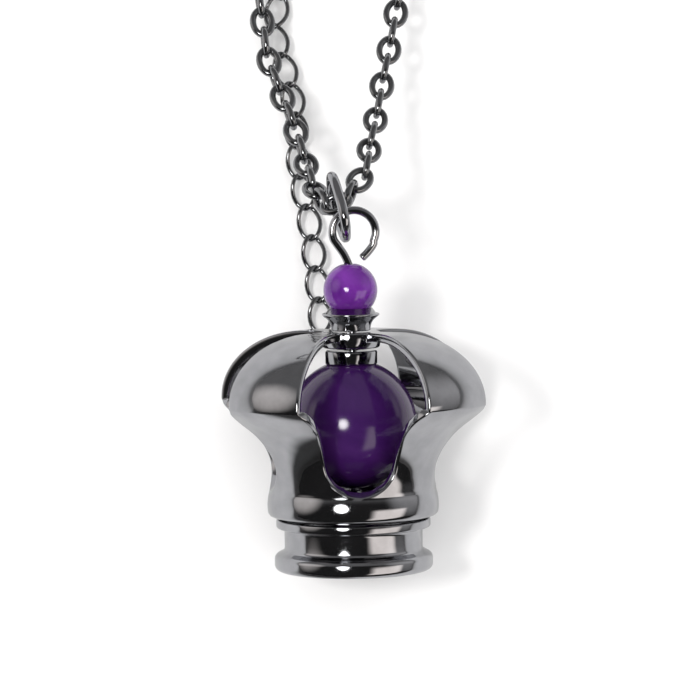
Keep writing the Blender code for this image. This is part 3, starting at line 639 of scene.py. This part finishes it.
pin_points = [(0.0, 0.0, socket_z + seat_gap), (0.0, 0.0, bead_z + 0.8 * bead_radius)]
for across, up in loop_lead:
    pin_points.append((loop_offset + across * loop_radius, 0.0, loop_z + up * loop_radius))
for angle in range(200, -30, -15):
    turn = math.radians(angle)
    x = loop_offset + loop_radius * math.cos(turn)
    pin_points.append((x, 0.0, loop_z + loop_radius * math.sin(turn)))
for across, up in loop_tail:
    pin_points.append((loop_offset + across * loop_radius, 0.0, loop_z + up * loop_radius))
pin_line = [pendant @ point for point in smooth_curve(pin_points, 6)]
cut_ease = 0.00016
last_step = (pin_line[-1] - pin_line[-2]).normalized()
pin_line[-1:] = [pin_line[-1] - last_step * 0.75 * cut_ease, pin_line[-1]]
bm = bmesh.new()
add_wire(bm, pin_line, eased_ends(pin_line, pin_wire / 2, cut_ease), sides=20)
settle(even_shading(finished("open_eye_pin", bm, gunmetal)), "eye_pin")


# Bail ring
# A thick oval jump ring of round wire, plated and closed with pliers. It hangs on the pin's loop,
# and the chain runs through it.

bail_length = 0.0085
bail_width = 0.0060
bail_wire = 0.0011
bail_heading = math.radians(10.0)
bail_dip = math.radians(26.0)
bail_fullness = 0.75
bail_reach = 0.0019
bail_drop = 0.00105
pin_bend = math.radians(122.0)


def oval_line(centre, along, across, size, wire, sides, fullness=1.0):
    """The centre line of an oval ring, of its outer length and width."""
    along = along.normalized()
    across = (across - along * across.dot(along)).normalized()
    line = []
    for side in range(sides):
        turn = math.tau * side / sides
        advance = math.copysign(abs(math.cos(turn)) ** fullness, math.cos(turn))
        spread = math.copysign(abs(math.sin(turn)) ** fullness, math.sin(turn))
        reach = along * (size[0] - wire) / 2 * advance
        line.append(centre + reach + across * (size[1] - wire) / 2 * spread)
    return line


heading = Matrix.Rotation(bail_heading, 3, "Z")
dip = Matrix.Rotation(-bail_dip, 3, "X")
bail_along = heading @ dip @ Vector((0.0, 1.0, 0.0))
bail_up = heading @ dip @ Vector((0.0, 0.0, 1.0))
bend_x = loop_offset + loop_radius * math.cos(pin_bend)
bend_z = loop_z + loop_radius * math.sin(pin_bend)
bend = pendant @ Vector((bend_x, 0.0, bend_z))
bail_centre = bend + bail_along * bail_reach - bail_up * bail_drop
bm = bmesh.new()
bail_size = (bail_length, bail_width)
bail_line = oval_line(bail_centre, bail_along, bail_up, bail_size, bail_wire, 96, bail_fullness)
add_wire(bm, bail_line, bail_wire / 2, sides=20, closed=True)
settle(finished("bail_jump_ring", bm, gunmetal), "bail_ring")


# Chain
# A cable chain of nearly round links in plated steel wire, each turned square to the next. It
# runs through the bail ring, and both strands go up to the clasp; most of it lies flat.

link_length = 0.0040
link_width = 0.00295
link_wire = 0.00075
link_slack = 0.00006
link_pitch = link_length - 2 * link_wire + link_slack
seat_reach = 0.0012
seat_drop = 0.0008
left_links = 18
right_links = 16
held_links = 3
loose_links = 5
loose_lean = math.radians(30.0)
chain_tilt = math.radians(24.0)

# Route of the chain, from the link that the bail holds: (east, north, share of its height).
# A share of 0 is the chain lying on the surface.
left_route = (
    (-0.0019, 0.0012, 0.880),
    (-0.0022, 0.0032, 0.730),
    (-0.0028, 0.0069, 0.548),
    (-0.0037, 0.0115, 0.408),
    (-0.0050, 0.0161, 0.290),
    (-0.0063, 0.0208, 0.215),
    (-0.0067, 0.0259, 0.165),
    (-0.0073, 0.0307, 0.130),
    (-0.0083, 0.0356, 0.100),
    (-0.0093, 0.0410, 0.070),
    (-0.0102, 0.0470, 0.060),
)
right_route = (
    (0.0018, 0.0017, 0.956),
    (0.0034, 0.0035, 0.894),
    (0.0044, 0.0077, 0.720),
    (0.0056, 0.0120, 0.553),
    (0.0067, 0.0168, 0.430),
    (0.0079, 0.0216, 0.330),
    (0.0090, 0.0264, 0.250),
    (0.0111, 0.0334, 0.150),
    (0.0146, 0.0424, 0.060),
    (0.0196, 0.0529, 0.010),
    (0.0262, 0.0654, 0.000),
    (0.0345, 0.0800, 0.000),
    (0.0415, 0.0950, 0.000),
    (0.0465, 0.1110, 0.000),
    (0.0480, 0.1280, 0.000),
    (0.0450, 0.1450, 0.000),
    (0.0370, 0.1600, 0.000),
    (0.0245, 0.1710, 0.000),
    (0.0090, 0.1765, 0.000),
    (-0.0070, 0.1765, 0.000),
    (-0.0225, 0.1710, 0.000),
    (-0.0350, 0.1600, 0.000),
    (-0.0430, 0.1450, 0.000),
    (-0.0460, 0.1280, 0.000),
    (-0.0445, 0.1110, 0.000),
    (-0.0390, 0.0965, 0.000),
    (-0.0308, 0.0840, 0.000),
    (-0.0225, 0.0742, 0.000),
    (-0.0158, 0.0668, 0.000),
)


def walk(line, pitch, count=None):
    """Points one pitch apart along a dense line."""
    stops = [line[0].copy()]
    for before, after in zip(line, line[1:]):
        while (after - stops[-1]).length >= pitch:
            if count is not None and len(stops) > count:
                return stops
            low, high = 0.0, 1.0
            for _ in range(30):
                middle = (low + high) / 2
                if (before.lerp(after, middle) - stops[-1]).length < pitch:
                    low = middle
                else:
                    high = middle
            stops.append(before.lerp(after, high))
    return stops


def route_line(start, table, low):
    points = [start]
    for east, north, share in table:
        points.append(Vector((seat.x + east, seat.y + north, low + (seat.z - low) * share)))
    return smooth_curve(points)


def across_of(along, roll):
    level = Vector((0.0, 0.0, 1.0)).cross(along).normalized()
    return Matrix.Rotation(roll, 3, along.normalized()) @ level


def links_between(stops, rolls):
    """The place, length direction and width direction of each link."""
    links = []
    for start, end, roll in zip(stops, stops[1:], rolls):
        along = (end - start).normalized()
        links.append(((start + end) / 2, along, across_of(along, roll)))
    return links


def link_tree():
    """Geometry nodes that put one wire link on every point of a mesh, turned as the point says."""
    tree = bpy.data.node_groups.new("links on points", "GeometryNodeTree")
    sockets = {}
    face = tree.interface
    inputs = [("Geometry", "NodeSocketGeometry")]
    inputs += [(label, "NodeSocketFloat") for label in ("Length", "Width", "Wire", "Twist")]
    inputs += [(label, "NodeSocketInt") for label in ("Bends", "Sides")]
    inputs += [("Metal", "NodeSocketMaterial")]
    for label, sort in inputs:
        sockets[label] = face.new_socket(label, in_out="INPUT", socket_type=sort)
    face.new_socket("Geometry", in_out="OUTPUT", socket_type="NodeSocketGeometry")
    nodes = tree.nodes
    links = tree.links
    given = nodes.new("NodeGroupInput").outputs

    def maths(operation, *values):
        node = nodes.new("ShaderNodeMath")
        node.operation = operation
        for socket, value in zip(node.inputs, values):
            if isinstance(value, (int, float)):
                socket.default_value = value
            else:
                links.new(value, socket)
        return node.outputs[0]

    reach = maths("MULTIPLY", maths("SUBTRACT", given["Length"], given["Wire"]), 0.5)
    spread = maths("MULTIPLY", maths("SUBTRACT", given["Width"], given["Wire"]), 0.5)
    circle = nodes.new("GeometryNodeCurvePrimitiveCircle")
    circle.inputs["Radius"].default_value = 1.0
    links.new(given["Bends"], circle.inputs["Resolution"])
    place = nodes.new("ShaderNodeSeparateXYZ")
    links.new(nodes.new("GeometryNodeInputPosition").outputs[0], place.inputs[0])
    angle = maths("MULTIPLY", place.outputs["X"], given["Twist"])
    wide = maths("MULTIPLY", place.outputs["Y"], spread)
    bent = nodes.new("ShaderNodeCombineXYZ")
    links.new(maths("MULTIPLY", place.outputs["X"], reach), bent.inputs["X"])
    links.new(maths("MULTIPLY", wide, maths("COSINE", angle)), bent.inputs["Y"])
    links.new(maths("MULTIPLY", wide, maths("SINE", angle)), bent.inputs["Z"])
    shape = nodes.new("GeometryNodeSetPosition")
    links.new(circle.outputs["Curve"], shape.inputs["Geometry"])
    links.new(bent.outputs[0], shape.inputs["Position"])
    section = nodes.new("GeometryNodeCurvePrimitiveCircle")
    links.new(maths("MULTIPLY", given["Wire"], 0.5), section.inputs["Radius"])
    links.new(given["Sides"], section.inputs["Resolution"])
    wire = nodes.new("GeometryNodeCurveToMesh")
    links.new(shape.outputs["Geometry"], wire.inputs["Curve"])
    links.new(section.outputs["Curve"], wire.inputs["Profile Curve"])
    smooth = nodes.new("GeometryNodeSetShadeSmooth")
    links.new(wire.outputs["Mesh"], smooth.inputs["Geometry"])
    turn = nodes.new("GeometryNodeInputNamedAttribute")
    turn.data_type = "QUATERNION"
    turn.inputs["Name"].default_value = "turn"
    row = nodes.new("GeometryNodeInstanceOnPoints")
    links.new(given["Geometry"], row.inputs["Points"])
    links.new(smooth.outputs["Geometry"], row.inputs["Instance"])
    links.new(turn.outputs[0], row.inputs["Rotation"])
    real = nodes.new("GeometryNodeRealizeInstances")
    links.new(row.outputs["Instances"], real.inputs["Geometry"])
    coat = nodes.new("GeometryNodeSetMaterial")
    links.new(real.outputs["Geometry"], coat.inputs["Geometry"])
    links.new(given["Metal"], coat.inputs["Material"])
    out = nodes.new("NodeGroupOutput")
    links.new(coat.outputs["Geometry"], out.inputs["Geometry"])
    return tree, {label: socket.identifier for label, socket in sockets.items()}


links_on_points, link_inputs = link_tree()


def chain_of(name, links, metal, **sizes):
    """One joined mesh of wire links."""
    points = bpy.data.meshes.new(name + "_points")
    points.from_pydata([tuple(centre) for centre, _, _ in links], [], [])
    turns = points.attributes.new("turn", "QUATERNION", "POINT")
    for index, (_, along, across) in enumerate(links):
        across = (across - along * across.dot(along)).normalized()
        turning = Matrix((along, across, along.cross(across))).transposed()
        turns.data[index].value = turning.to_quaternion()
    carrier = bpy.data.objects.new(name + "_points", points)
    bpy.context.scene.collection.objects.link(carrier)
    modifier = carrier.modifiers.new("links", "NODES")
    modifier.node_group = links_on_points
    for label, value in sizes.items():
        modifier[link_inputs[label]] = value
    modifier[link_inputs["Metal"]] = metal
    shown = bpy.context.evaluated_depsgraph_get()
    mesh = bpy.data.meshes.new_from_object(carrier.evaluated_get(shown))
    mesh.name = name
    bpy.data.objects.remove(carrier, do_unlink=True)
    made = bpy.data.objects.new(name, mesh)
    bpy.context.scene.collection.objects.link(made)
    return made


chain_metal = polished_metal("chain_metal", (0.255, 0.26, 0.27), 0.10, 0.10)

seat = bail_centre + bail_along * seat_reach - bail_up * seat_drop
sideways = heading @ Vector((math.cos(chain_tilt), 0.0, math.sin(chain_tilt)))
low = link_width / 2
left_line = route_line(seat - sideways * link_pitch / 2, left_route, low)
left_stops = walk(left_line, link_pitch, left_links)
right_line = route_line(seat + sideways * link_pitch / 2, right_route, low)
right_stops = walk(right_line, link_pitch, right_links)
rolls = []
for index in range(-left_links, right_links + 1):
    upright = math.pi / 2 if index % 2 else 0.0
    held = -bail_dip * max(0.0, 1.0 - abs(index) / held_links)
    loose = loose_lean * max(0.0, 1.0 - (index + left_links) / loose_links)
    rolls.append(upright + held + loose)
front_links = links_between(list(reversed(left_stops)) + right_stops, rolls)
front = chain_of("front_links", front_links, chain_metal, Length=link_length, Width=link_width,
                 Wire=link_wire, Twist=0.0, Bends=24, Sides=10)
settle(front, "front_chain")


# End ring
# A small jump ring of round wire, plated, at the end of the left strand. It joins the chain, the
# clasp and the thin extension chain.

end_ring_size = 0.0046
end_ring_wire = 0.0007
end_ring_lean = math.radians(60.0)
link_gap = 0.00015


def add_round_ring(bm, centre, along, across, size, wire, bends):
    """A round ring of drawn wire, of its outer size."""
    line = oval_line(centre, along, across, (size, size), wire, bends)
    add_wire(bm, line, wire / 2, sides=12, closed=True)


outward = left_stops[-1] - left_stops[-2]
outward = Vector((outward.x, outward.y, 0.0)).normalized()
end_near = left_stops[-1] - outward * (end_ring_wire / 2 + link_gap)
end_centre = end_near + outward * (end_ring_size - end_ring_wire) / 2
end_centre.z = max(end_centre.z, end_ring_size / 2)
end_across = across_of(outward, end_ring_lean)
bm = bmesh.new()
add_round_ring(bm, end_centre, outward, end_across, end_ring_size, end_ring_wire, 56)
settle(finished("end_jump_ring", bm, chain_metal), "end_ring")


# Clasp
# A small lobster clasp, cast and plated: a claw that thins to its tip, a lever on one side that
# turns on a rivet, and an eye on the tail. The claw holds the end ring.

clasp_length = 0.0075
clasp_width = 0.0050
clasp_wire = 0.0011
clasp_eye = 0.0026
clasp_eye_wire = 0.0007
rivet_radius = 0.00032
rivet_half = 0.00068
rivet_turn = 0.9
thumb_turn = 1.75
lever_thinning = 0.18
tip_wire = 0.7 * clasp_wire
tail_wire = 1.5 * clasp_wire
claw_tip = end_centre + outward * (end_ring_size / 2 - end_ring_wire - 2 * seat_gap - tip_wire)
slope = (clasp_wire * 0.8 - claw_tip.z) / (clasp_length + clasp_eye)
clasp_along = (outward + Vector((0.0, 0.0, slope))).normalized()
clasp_across = across_of(clasp_along, 0.0)
clasp_up = clasp_along.cross(clasp_across)
claw_centre = claw_tip + clasp_along * clasp_length / 2
claw_sides = 72
claw_line = []
claw_radii = []
mean_wire = (tip_wire + tail_wire) / 2


def on_claw(turn):
    """A point on the centre line of the claw, from the tail at 0 past the lever's side."""
    reach = clasp_along * (clasp_length - mean_wire) / 2 * math.cos(turn)
    return claw_centre + reach + clasp_across * (clasp_width - mean_wire) / 2 * math.sin(turn)


for side in range(claw_sides):
    turn = math.tau * side / claw_sides
    wire = mean_wire + (tail_wire - tip_wire) / 2 * math.cos(turn)
    lever_side = max(0.0, math.sin(turn))
    claw_radii.append(wire / 2 * (1.0 - lever_thinning * lever_side))
    claw_line.append(on_claw(turn))
bm = bmesh.new()
add_wire(bm, claw_line, claw_radii, sides=14, closed=True)
eye_centre = claw_tip + clasp_along * (clasp_length + clasp_eye / 2 - clasp_eye_wire)
add_round_ring(bm, eye_centre, clasp_along, clasp_across, clasp_eye, clasp_eye_wire, 40)
rivet = on_claw(rivet_turn)
rivet_edge = rivet_half - 0.00006
rivet_line = [rivet + clasp_up * up for up in (-rivet_half, -rivet_edge, rivet_edge, rivet_half)]
rivet_radii = [rivet_radius * share for share in (0.75, 1.0, 1.0, 0.75)]
add_wire(bm, rivet_line, rivet_radii, sides=14)
thumb = on_claw(thumb_turn)
thumb_end = thumb + clasp_across * 0.00055 + clasp_along * 0.00045
add_wire(bm, [thumb, thumb.lerp(thumb_end, 0.6), thumb_end], [0.00040, 0.00034, 0.00018], sides=12)
settle(finished("lobster_clasp", bm, chain_metal), "clasp")


# Clasp ring
# A jump ring of round wire, plated and closed with pliers. It joins the eye of the clasp to the
# other end of the chain.

clasp_ring_size = 0.0036
clasp_ring_wire = 0.0006
clasp_ring_lean = math.radians(70.0)
eye_tail = eye_centre + clasp_along * (clasp_eye - clasp_eye_wire) / 2
ring_near = eye_tail - clasp_along * ((clasp_eye_wire + clasp_ring_wire) / 2 + link_gap)
ring_heading = Vector((clasp_along.x, clasp_along.y, 0.0)).normalized()
ring_across = across_of(ring_heading, clasp_ring_lean)
ring_reach = (clasp_ring_size - clasp_ring_wire) / 2
lift = (clasp_ring_size * 0.48 - ring_near.z) / ring_across.z
ring_centre = ring_near + ring_heading * math.sqrt(ring_reach**2 - lift**2) + ring_across * lift
bm = bmesh.new()
add_round_ring(bm, ring_centre, ring_heading, ring_across, clasp_ring_size, clasp_ring_wire, 48)
settle(finished("clasp_jump_ring", bm, chain_metal), "clasp_ring")


# Rest of the chain
# The same cable chain, from the right strand once round to the clasp ring. Its links lie on the
# surface, each leaning half over to either side.

settling_links = 8
lying_lean = math.radians(-45.0)
lying_sway = math.radians(6.0)
sway_step = 2.3
lead_in = 0.006
stride = 6
neck_end = ring_centre + ring_heading * (clasp_ring_size / 2 + seat_gap)
neck_end.z = low
nearest = min(range(len(right_line)), key=lambda i: (right_line[i] - right_stops[-1]).length)
neck_points = [right_stops[-1]] + right_line[nearest + stride::stride]
neck_points += [neck_end + ring_heading * lead_in, neck_end - ring_heading * 0.1 * lead_in]
neck_stops = walk(smooth_curve(neck_points, 6), link_pitch)
neck_rolls = []
for index in range(len(neck_stops) - 1):
    settled = min(1.0, index / settling_links)
    upright = math.pi / 2 if (index + right_links + 1) % 2 else 0.0
    sway = lying_sway * math.sin(index * sway_step)
    neck_rolls.append(upright + settled * (lying_lean + sway))
neck_links = links_between(neck_stops, neck_rolls)
neck = chain_of("neck_links", neck_links, chain_metal, Length=link_length, Width=link_width,
                Wire=link_wire, Twist=0.0, Bends=16, Sides=8)
settle(neck, "neck_chain")


# Extension chain
# A thin curb chain: oval wire links, each twisted so that the row lies flat. It hangs on the end
# ring, runs under the left strand and ends free beside the cage.

extension_length = 0.00466
extension_width = 0.0030
extension_wire = 0.0005
extension_twist = math.radians(35.0)
extension_hang = math.radians(-35.0)
extension_lean = math.radians(40.0)
leaning_links = 4
extension_links = 15
extension_pitch = extension_length - 2 * extension_wire + link_slack

# Route of the extension: (east, north, share of the height), from the same start as the chain's
extension_route = (
    (-0.0073, 0.0390, 0.000),
    (-0.0030, 0.0328, 0.000),
    (-0.0053, 0.0262, 0.000),
    (-0.0042, 0.0213, 0.000),
    (-0.0033, 0.0175, 0.000),
    (-0.0028, 0.0135, 0.000),
    (-0.0030, 0.0096, 0.000),
    (-0.0024, 0.0057, 0.000),
    (-0.0018, 0.0020, 0.000),
    (-0.0014, -0.0017, 0.000),
    (-0.0012, -0.0054, 0.000),
    (-0.0009, -0.0090, 0.000),
    (-0.0009, -0.0140, 0.000),
)
around = end_across * math.sin(extension_hang) - outward * math.cos(extension_hang)
extension_start = end_centre + around * ((end_ring_size - end_ring_wire) / 2)
extension_start -= around * (end_ring_wire / 2 + seat_gap)
extension_low = extension_wire / 2 + 0.25 * extension_width
extension_line = route_line(extension_start, extension_route, extension_low)
extension_stops = walk(extension_line, extension_pitch, extension_links)
extension_rolls = []
for index in range(extension_links):
    extension_rolls.append(extension_lean * max(0.0, 1.0 - index / leaning_links))
thin_links = links_between(extension_stops, extension_rolls)
thin = chain_of("curb_links", thin_links, chain_metal, Length=extension_length,
                Width=extension_width, Wire=extension_wire, Twist=extension_twist,
                Bends=28, Sides=10)
settle(thin, "extension_chain")


# Surface, light and camera
# A plain pale table under soft light, with a lamp above and to the left. The camera looks steeply
# down on the pendant, and the room behind it is dark, so the metal mirrors it black.

table_half = 2.5
table_white = (0.86, 0.855, 0.855)
bm = bmesh.new()
bmesh.ops.create_grid(bm, x_segments=1, y_segments=1, size=table_half)
table_paint = bpy.data.materials.new("pale_table")
table_paint.use_nodes = True
table_shader = table_paint.node_tree.nodes["Principled BSDF"]
table_shader.inputs["Roughness"].default_value = 0.65
nodes = table_paint.node_tree.nodes
links = table_paint.node_tree.links


def eased(value, start, end, first, last):
    """A value carried smoothly from first to last while it goes from start to end."""
    node = nodes.new("ShaderNodeMapRange")
    node.interpolation_type = "SMOOTHSTEP"
    node.inputs["From Min"].default_value = start
    node.inputs["From Max"].default_value = end
    node.inputs["To Min"].default_value = first
    node.inputs["To Max"].default_value = last
    links.new(value, node.inputs["Value"])
    return node.outputs["Result"]


def reckoned(operation, first, second):
    """One sum on two values, each a number or a socket."""
    node = nodes.new("ShaderNodeMath")
    node.operation = operation
    for socket, value in zip(node.inputs, (first, second)):
        if isinstance(value, (int, float)):
            socket.default_value = value
        else:
            links.new(value, socket)
    return node.outputs[0]


# Painted reflection shade: in glossy rays only, the table's colour darkens away from the pendant
# and to the south, and a painted dark patch stands where a black card would be
spot = nodes.new("ShaderNodeTexCoord").outputs["Object"]
from_pendant = nodes.new("ShaderNodeVectorMath")
from_pendant.operation = "DISTANCE"
from_pendant.inputs[1].default_value = (0.0, -0.1, 0.0)
links.new(spot, from_pendant.inputs[0])
spot_parts = nodes.new("ShaderNodeSeparateXYZ")
links.new(spot, spot_parts.inputs[0])
# painted shade: the table's colour darkens with distance from the pendant and towards the south,
# seen only in the metal's reflections
painted_reflection_shade = eased(from_pendant.outputs["Value"], 0.03, 0.45, 0.70, 0.15)
painted_reflection_shade = reckoned("MULTIPLY", painted_reflection_shade, eased(spot_parts.outputs["Y"], -0.26, -0.15, 0.15, 1.0))
# painted shade: a dark patch in the table's colour south of the foot stands in for a black card,
# seen only in reflections
painted_card_shade = eased(spot_parts.outputs["Y"], -0.136, -0.114, 0.94, 0.0)
painted_card_shade = reckoned("MULTIPLY", painted_card_shade, eased(spot_parts.outputs["X"], -0.012, 0.006, 1.0, 0.0))
painted_reflection_shade = reckoned("MULTIPLY", painted_reflection_shade, reckoned("SUBTRACT", 1.0, painted_card_shade))
# the painted shade applies to glossy rays only, so the table looks evenly pale to the camera
mirrored = nodes.new("ShaderNodeLightPath").outputs["Is Glossy Ray"]
painted_reflection_shade = reckoned("ADD", reckoned("MULTIPLY", mirrored, reckoned("SUBTRACT", painted_reflection_shade, 1.0)), 1.0)
pale = nodes.new("ShaderNodeVectorMath")
pale.operation = "SCALE"
pale.inputs[0].default_value = table_white
links.new(painted_reflection_shade, pale.inputs["Scale"])
links.new(pale.outputs["Vector"], table_shader.inputs["Base Color"])
table = finished("pale_table", bm, table_paint)

world = bpy.data.worlds.new("studio")
bpy.context.scene.world = world
world.use_nodes = True
nodes = world.node_tree.nodes
links = world.node_tree.links
nodes.clear()
way = nodes.new("ShaderNodeTexCoord").outputs["Generated"]
way_parts = nodes.new("ShaderNodeSeparateXYZ")
links.new(way, way_parts.inputs[0])
east, north, height = way_parts.outputs


def round_patch(direction, inner, outer):
    """Full inside one angle from a direction, and none past another."""
    dot = nodes.new("ShaderNodeVectorMath")
    dot.operation = "DOT_PRODUCT"
    dot.inputs[1].default_value = Vector(direction).normalized()
    links.new(way, dot.inputs[0])
    near, far = math.cos(math.radians(inner)), math.cos(math.radians(outer))
    return eased(dot.outputs["Value"], far, near, 0.0, 1.0)


def glow(share, colour, strength):
    node = nodes.new("ShaderNodeBackground")
    node.inputs["Color"].default_value = (*colour, 1.0)
    links.new(reckoned("MULTIPLY", share, strength), node.inputs["Strength"])
    return node.outputs[0]


def added(first, second):
    node = nodes.new("ShaderNodeAddShader")
    links.new(first, node.inputs[0])
    links.new(second, node.inputs[1])
    return node.outputs[0]


# A screen of cloth on a stand, seen to the south-east above the table
raised = reckoned("MAXIMUM", height, 0.02)
side = reckoned("DIVIDE", east, raised)
down = reckoned("DIVIDE", reckoned("MULTIPLY", north, -1.0), raised)
screen = reckoned("MULTIPLY", eased(side, 0.30, 0.60, 0.0, 1.0), eased(side, 2.0, 3.6, 1.0, 0.0))
screen = reckoned("MULTIPLY", screen, eased(down, 0.26, 0.40, 0.0, 1.0))
screen = reckoned("MULTIPLY", screen, eased(down, 1.5, 2.1, 1.0, 0.0))

room_light = glow(eased(north, -0.1, 0.35, 0.1, 1.0), (1.0, 0.98, 0.98), 0.20)
lamp = round_patch((-0.358, -0.194, 0.912), 4.0, 11.0)
room_light = added(room_light, glow(lamp, (1.0, 0.99, 0.97), 16.0))
room_light = added(room_light, glow(screen, (1.0, 0.92, 0.86), 1.4))
wall = round_patch((-0.92, 0.2, 0.3), 2.0, 30.0)
room_light = added(room_light, glow(wall, (1.0, 0.93, 0.88), 0.75))
far_wall = round_patch((0.93, 0.2, 0.3), 5.0, 38.0)
room_light = added(room_light, glow(far_wall, (1.0, 0.98, 0.98), 0.35))
soft_light = nodes.new("ShaderNodeBackground")
soft_light.inputs["Color"].default_value = (1.0, 1.0, 1.0, 1.0)
soft_light.inputs["Strength"].default_value = 1.18
kind = nodes.new("ShaderNodeLightPath")
choice = nodes.new("ShaderNodeMixShader")
links.new(kind.outputs["Is Glossy Ray"], choice.inputs["Fac"])
links.new(soft_light.outputs[0], choice.inputs[1])
links.new(room_light, choice.inputs[2])
out = nodes.new("ShaderNodeOutputWorld")
links.new(choice.outputs[0], out.inputs["Surface"])

key = bpy.data.lights.new("key", "AREA")
key.shape = "DISK"
key.size = 0.22
key.energy = 6.0
key.color = (1.0, 0.985, 0.97)
key_light = bpy.data.objects.new("key", key)
key_light.location = (-0.56, -0.20, 1.05)
aim = Vector((0.0, -0.08, 0.01)) - Vector(key_light.location)
key_light.rotation_euler = aim.to_track_quat("-Z", "Y").to_euler()
key_light.visible_glossy = False
bpy.context.scene.collection.objects.link(key_light)

camera = bpy.data.cameras.new("camera")
camera.sensor_width = 36.0
camera.lens = 185.14
camera.clip_start = 0.01
camera_object = bpy.data.objects.new("camera", camera)
camera_object.location = (-0.036132, -0.168594, 0.404715)
camera_object.rotation_euler = [math.radians(angle) for angle in (12.3181, -4.8259, -2.2153)]
bpy.context.scene.collection.objects.link(camera_object)
bpy.context.scene.camera = camera_object
bpy.context.scene.view_settings.view_transform = "Standard"
bpy.context.scene.view_settings.look = "None"
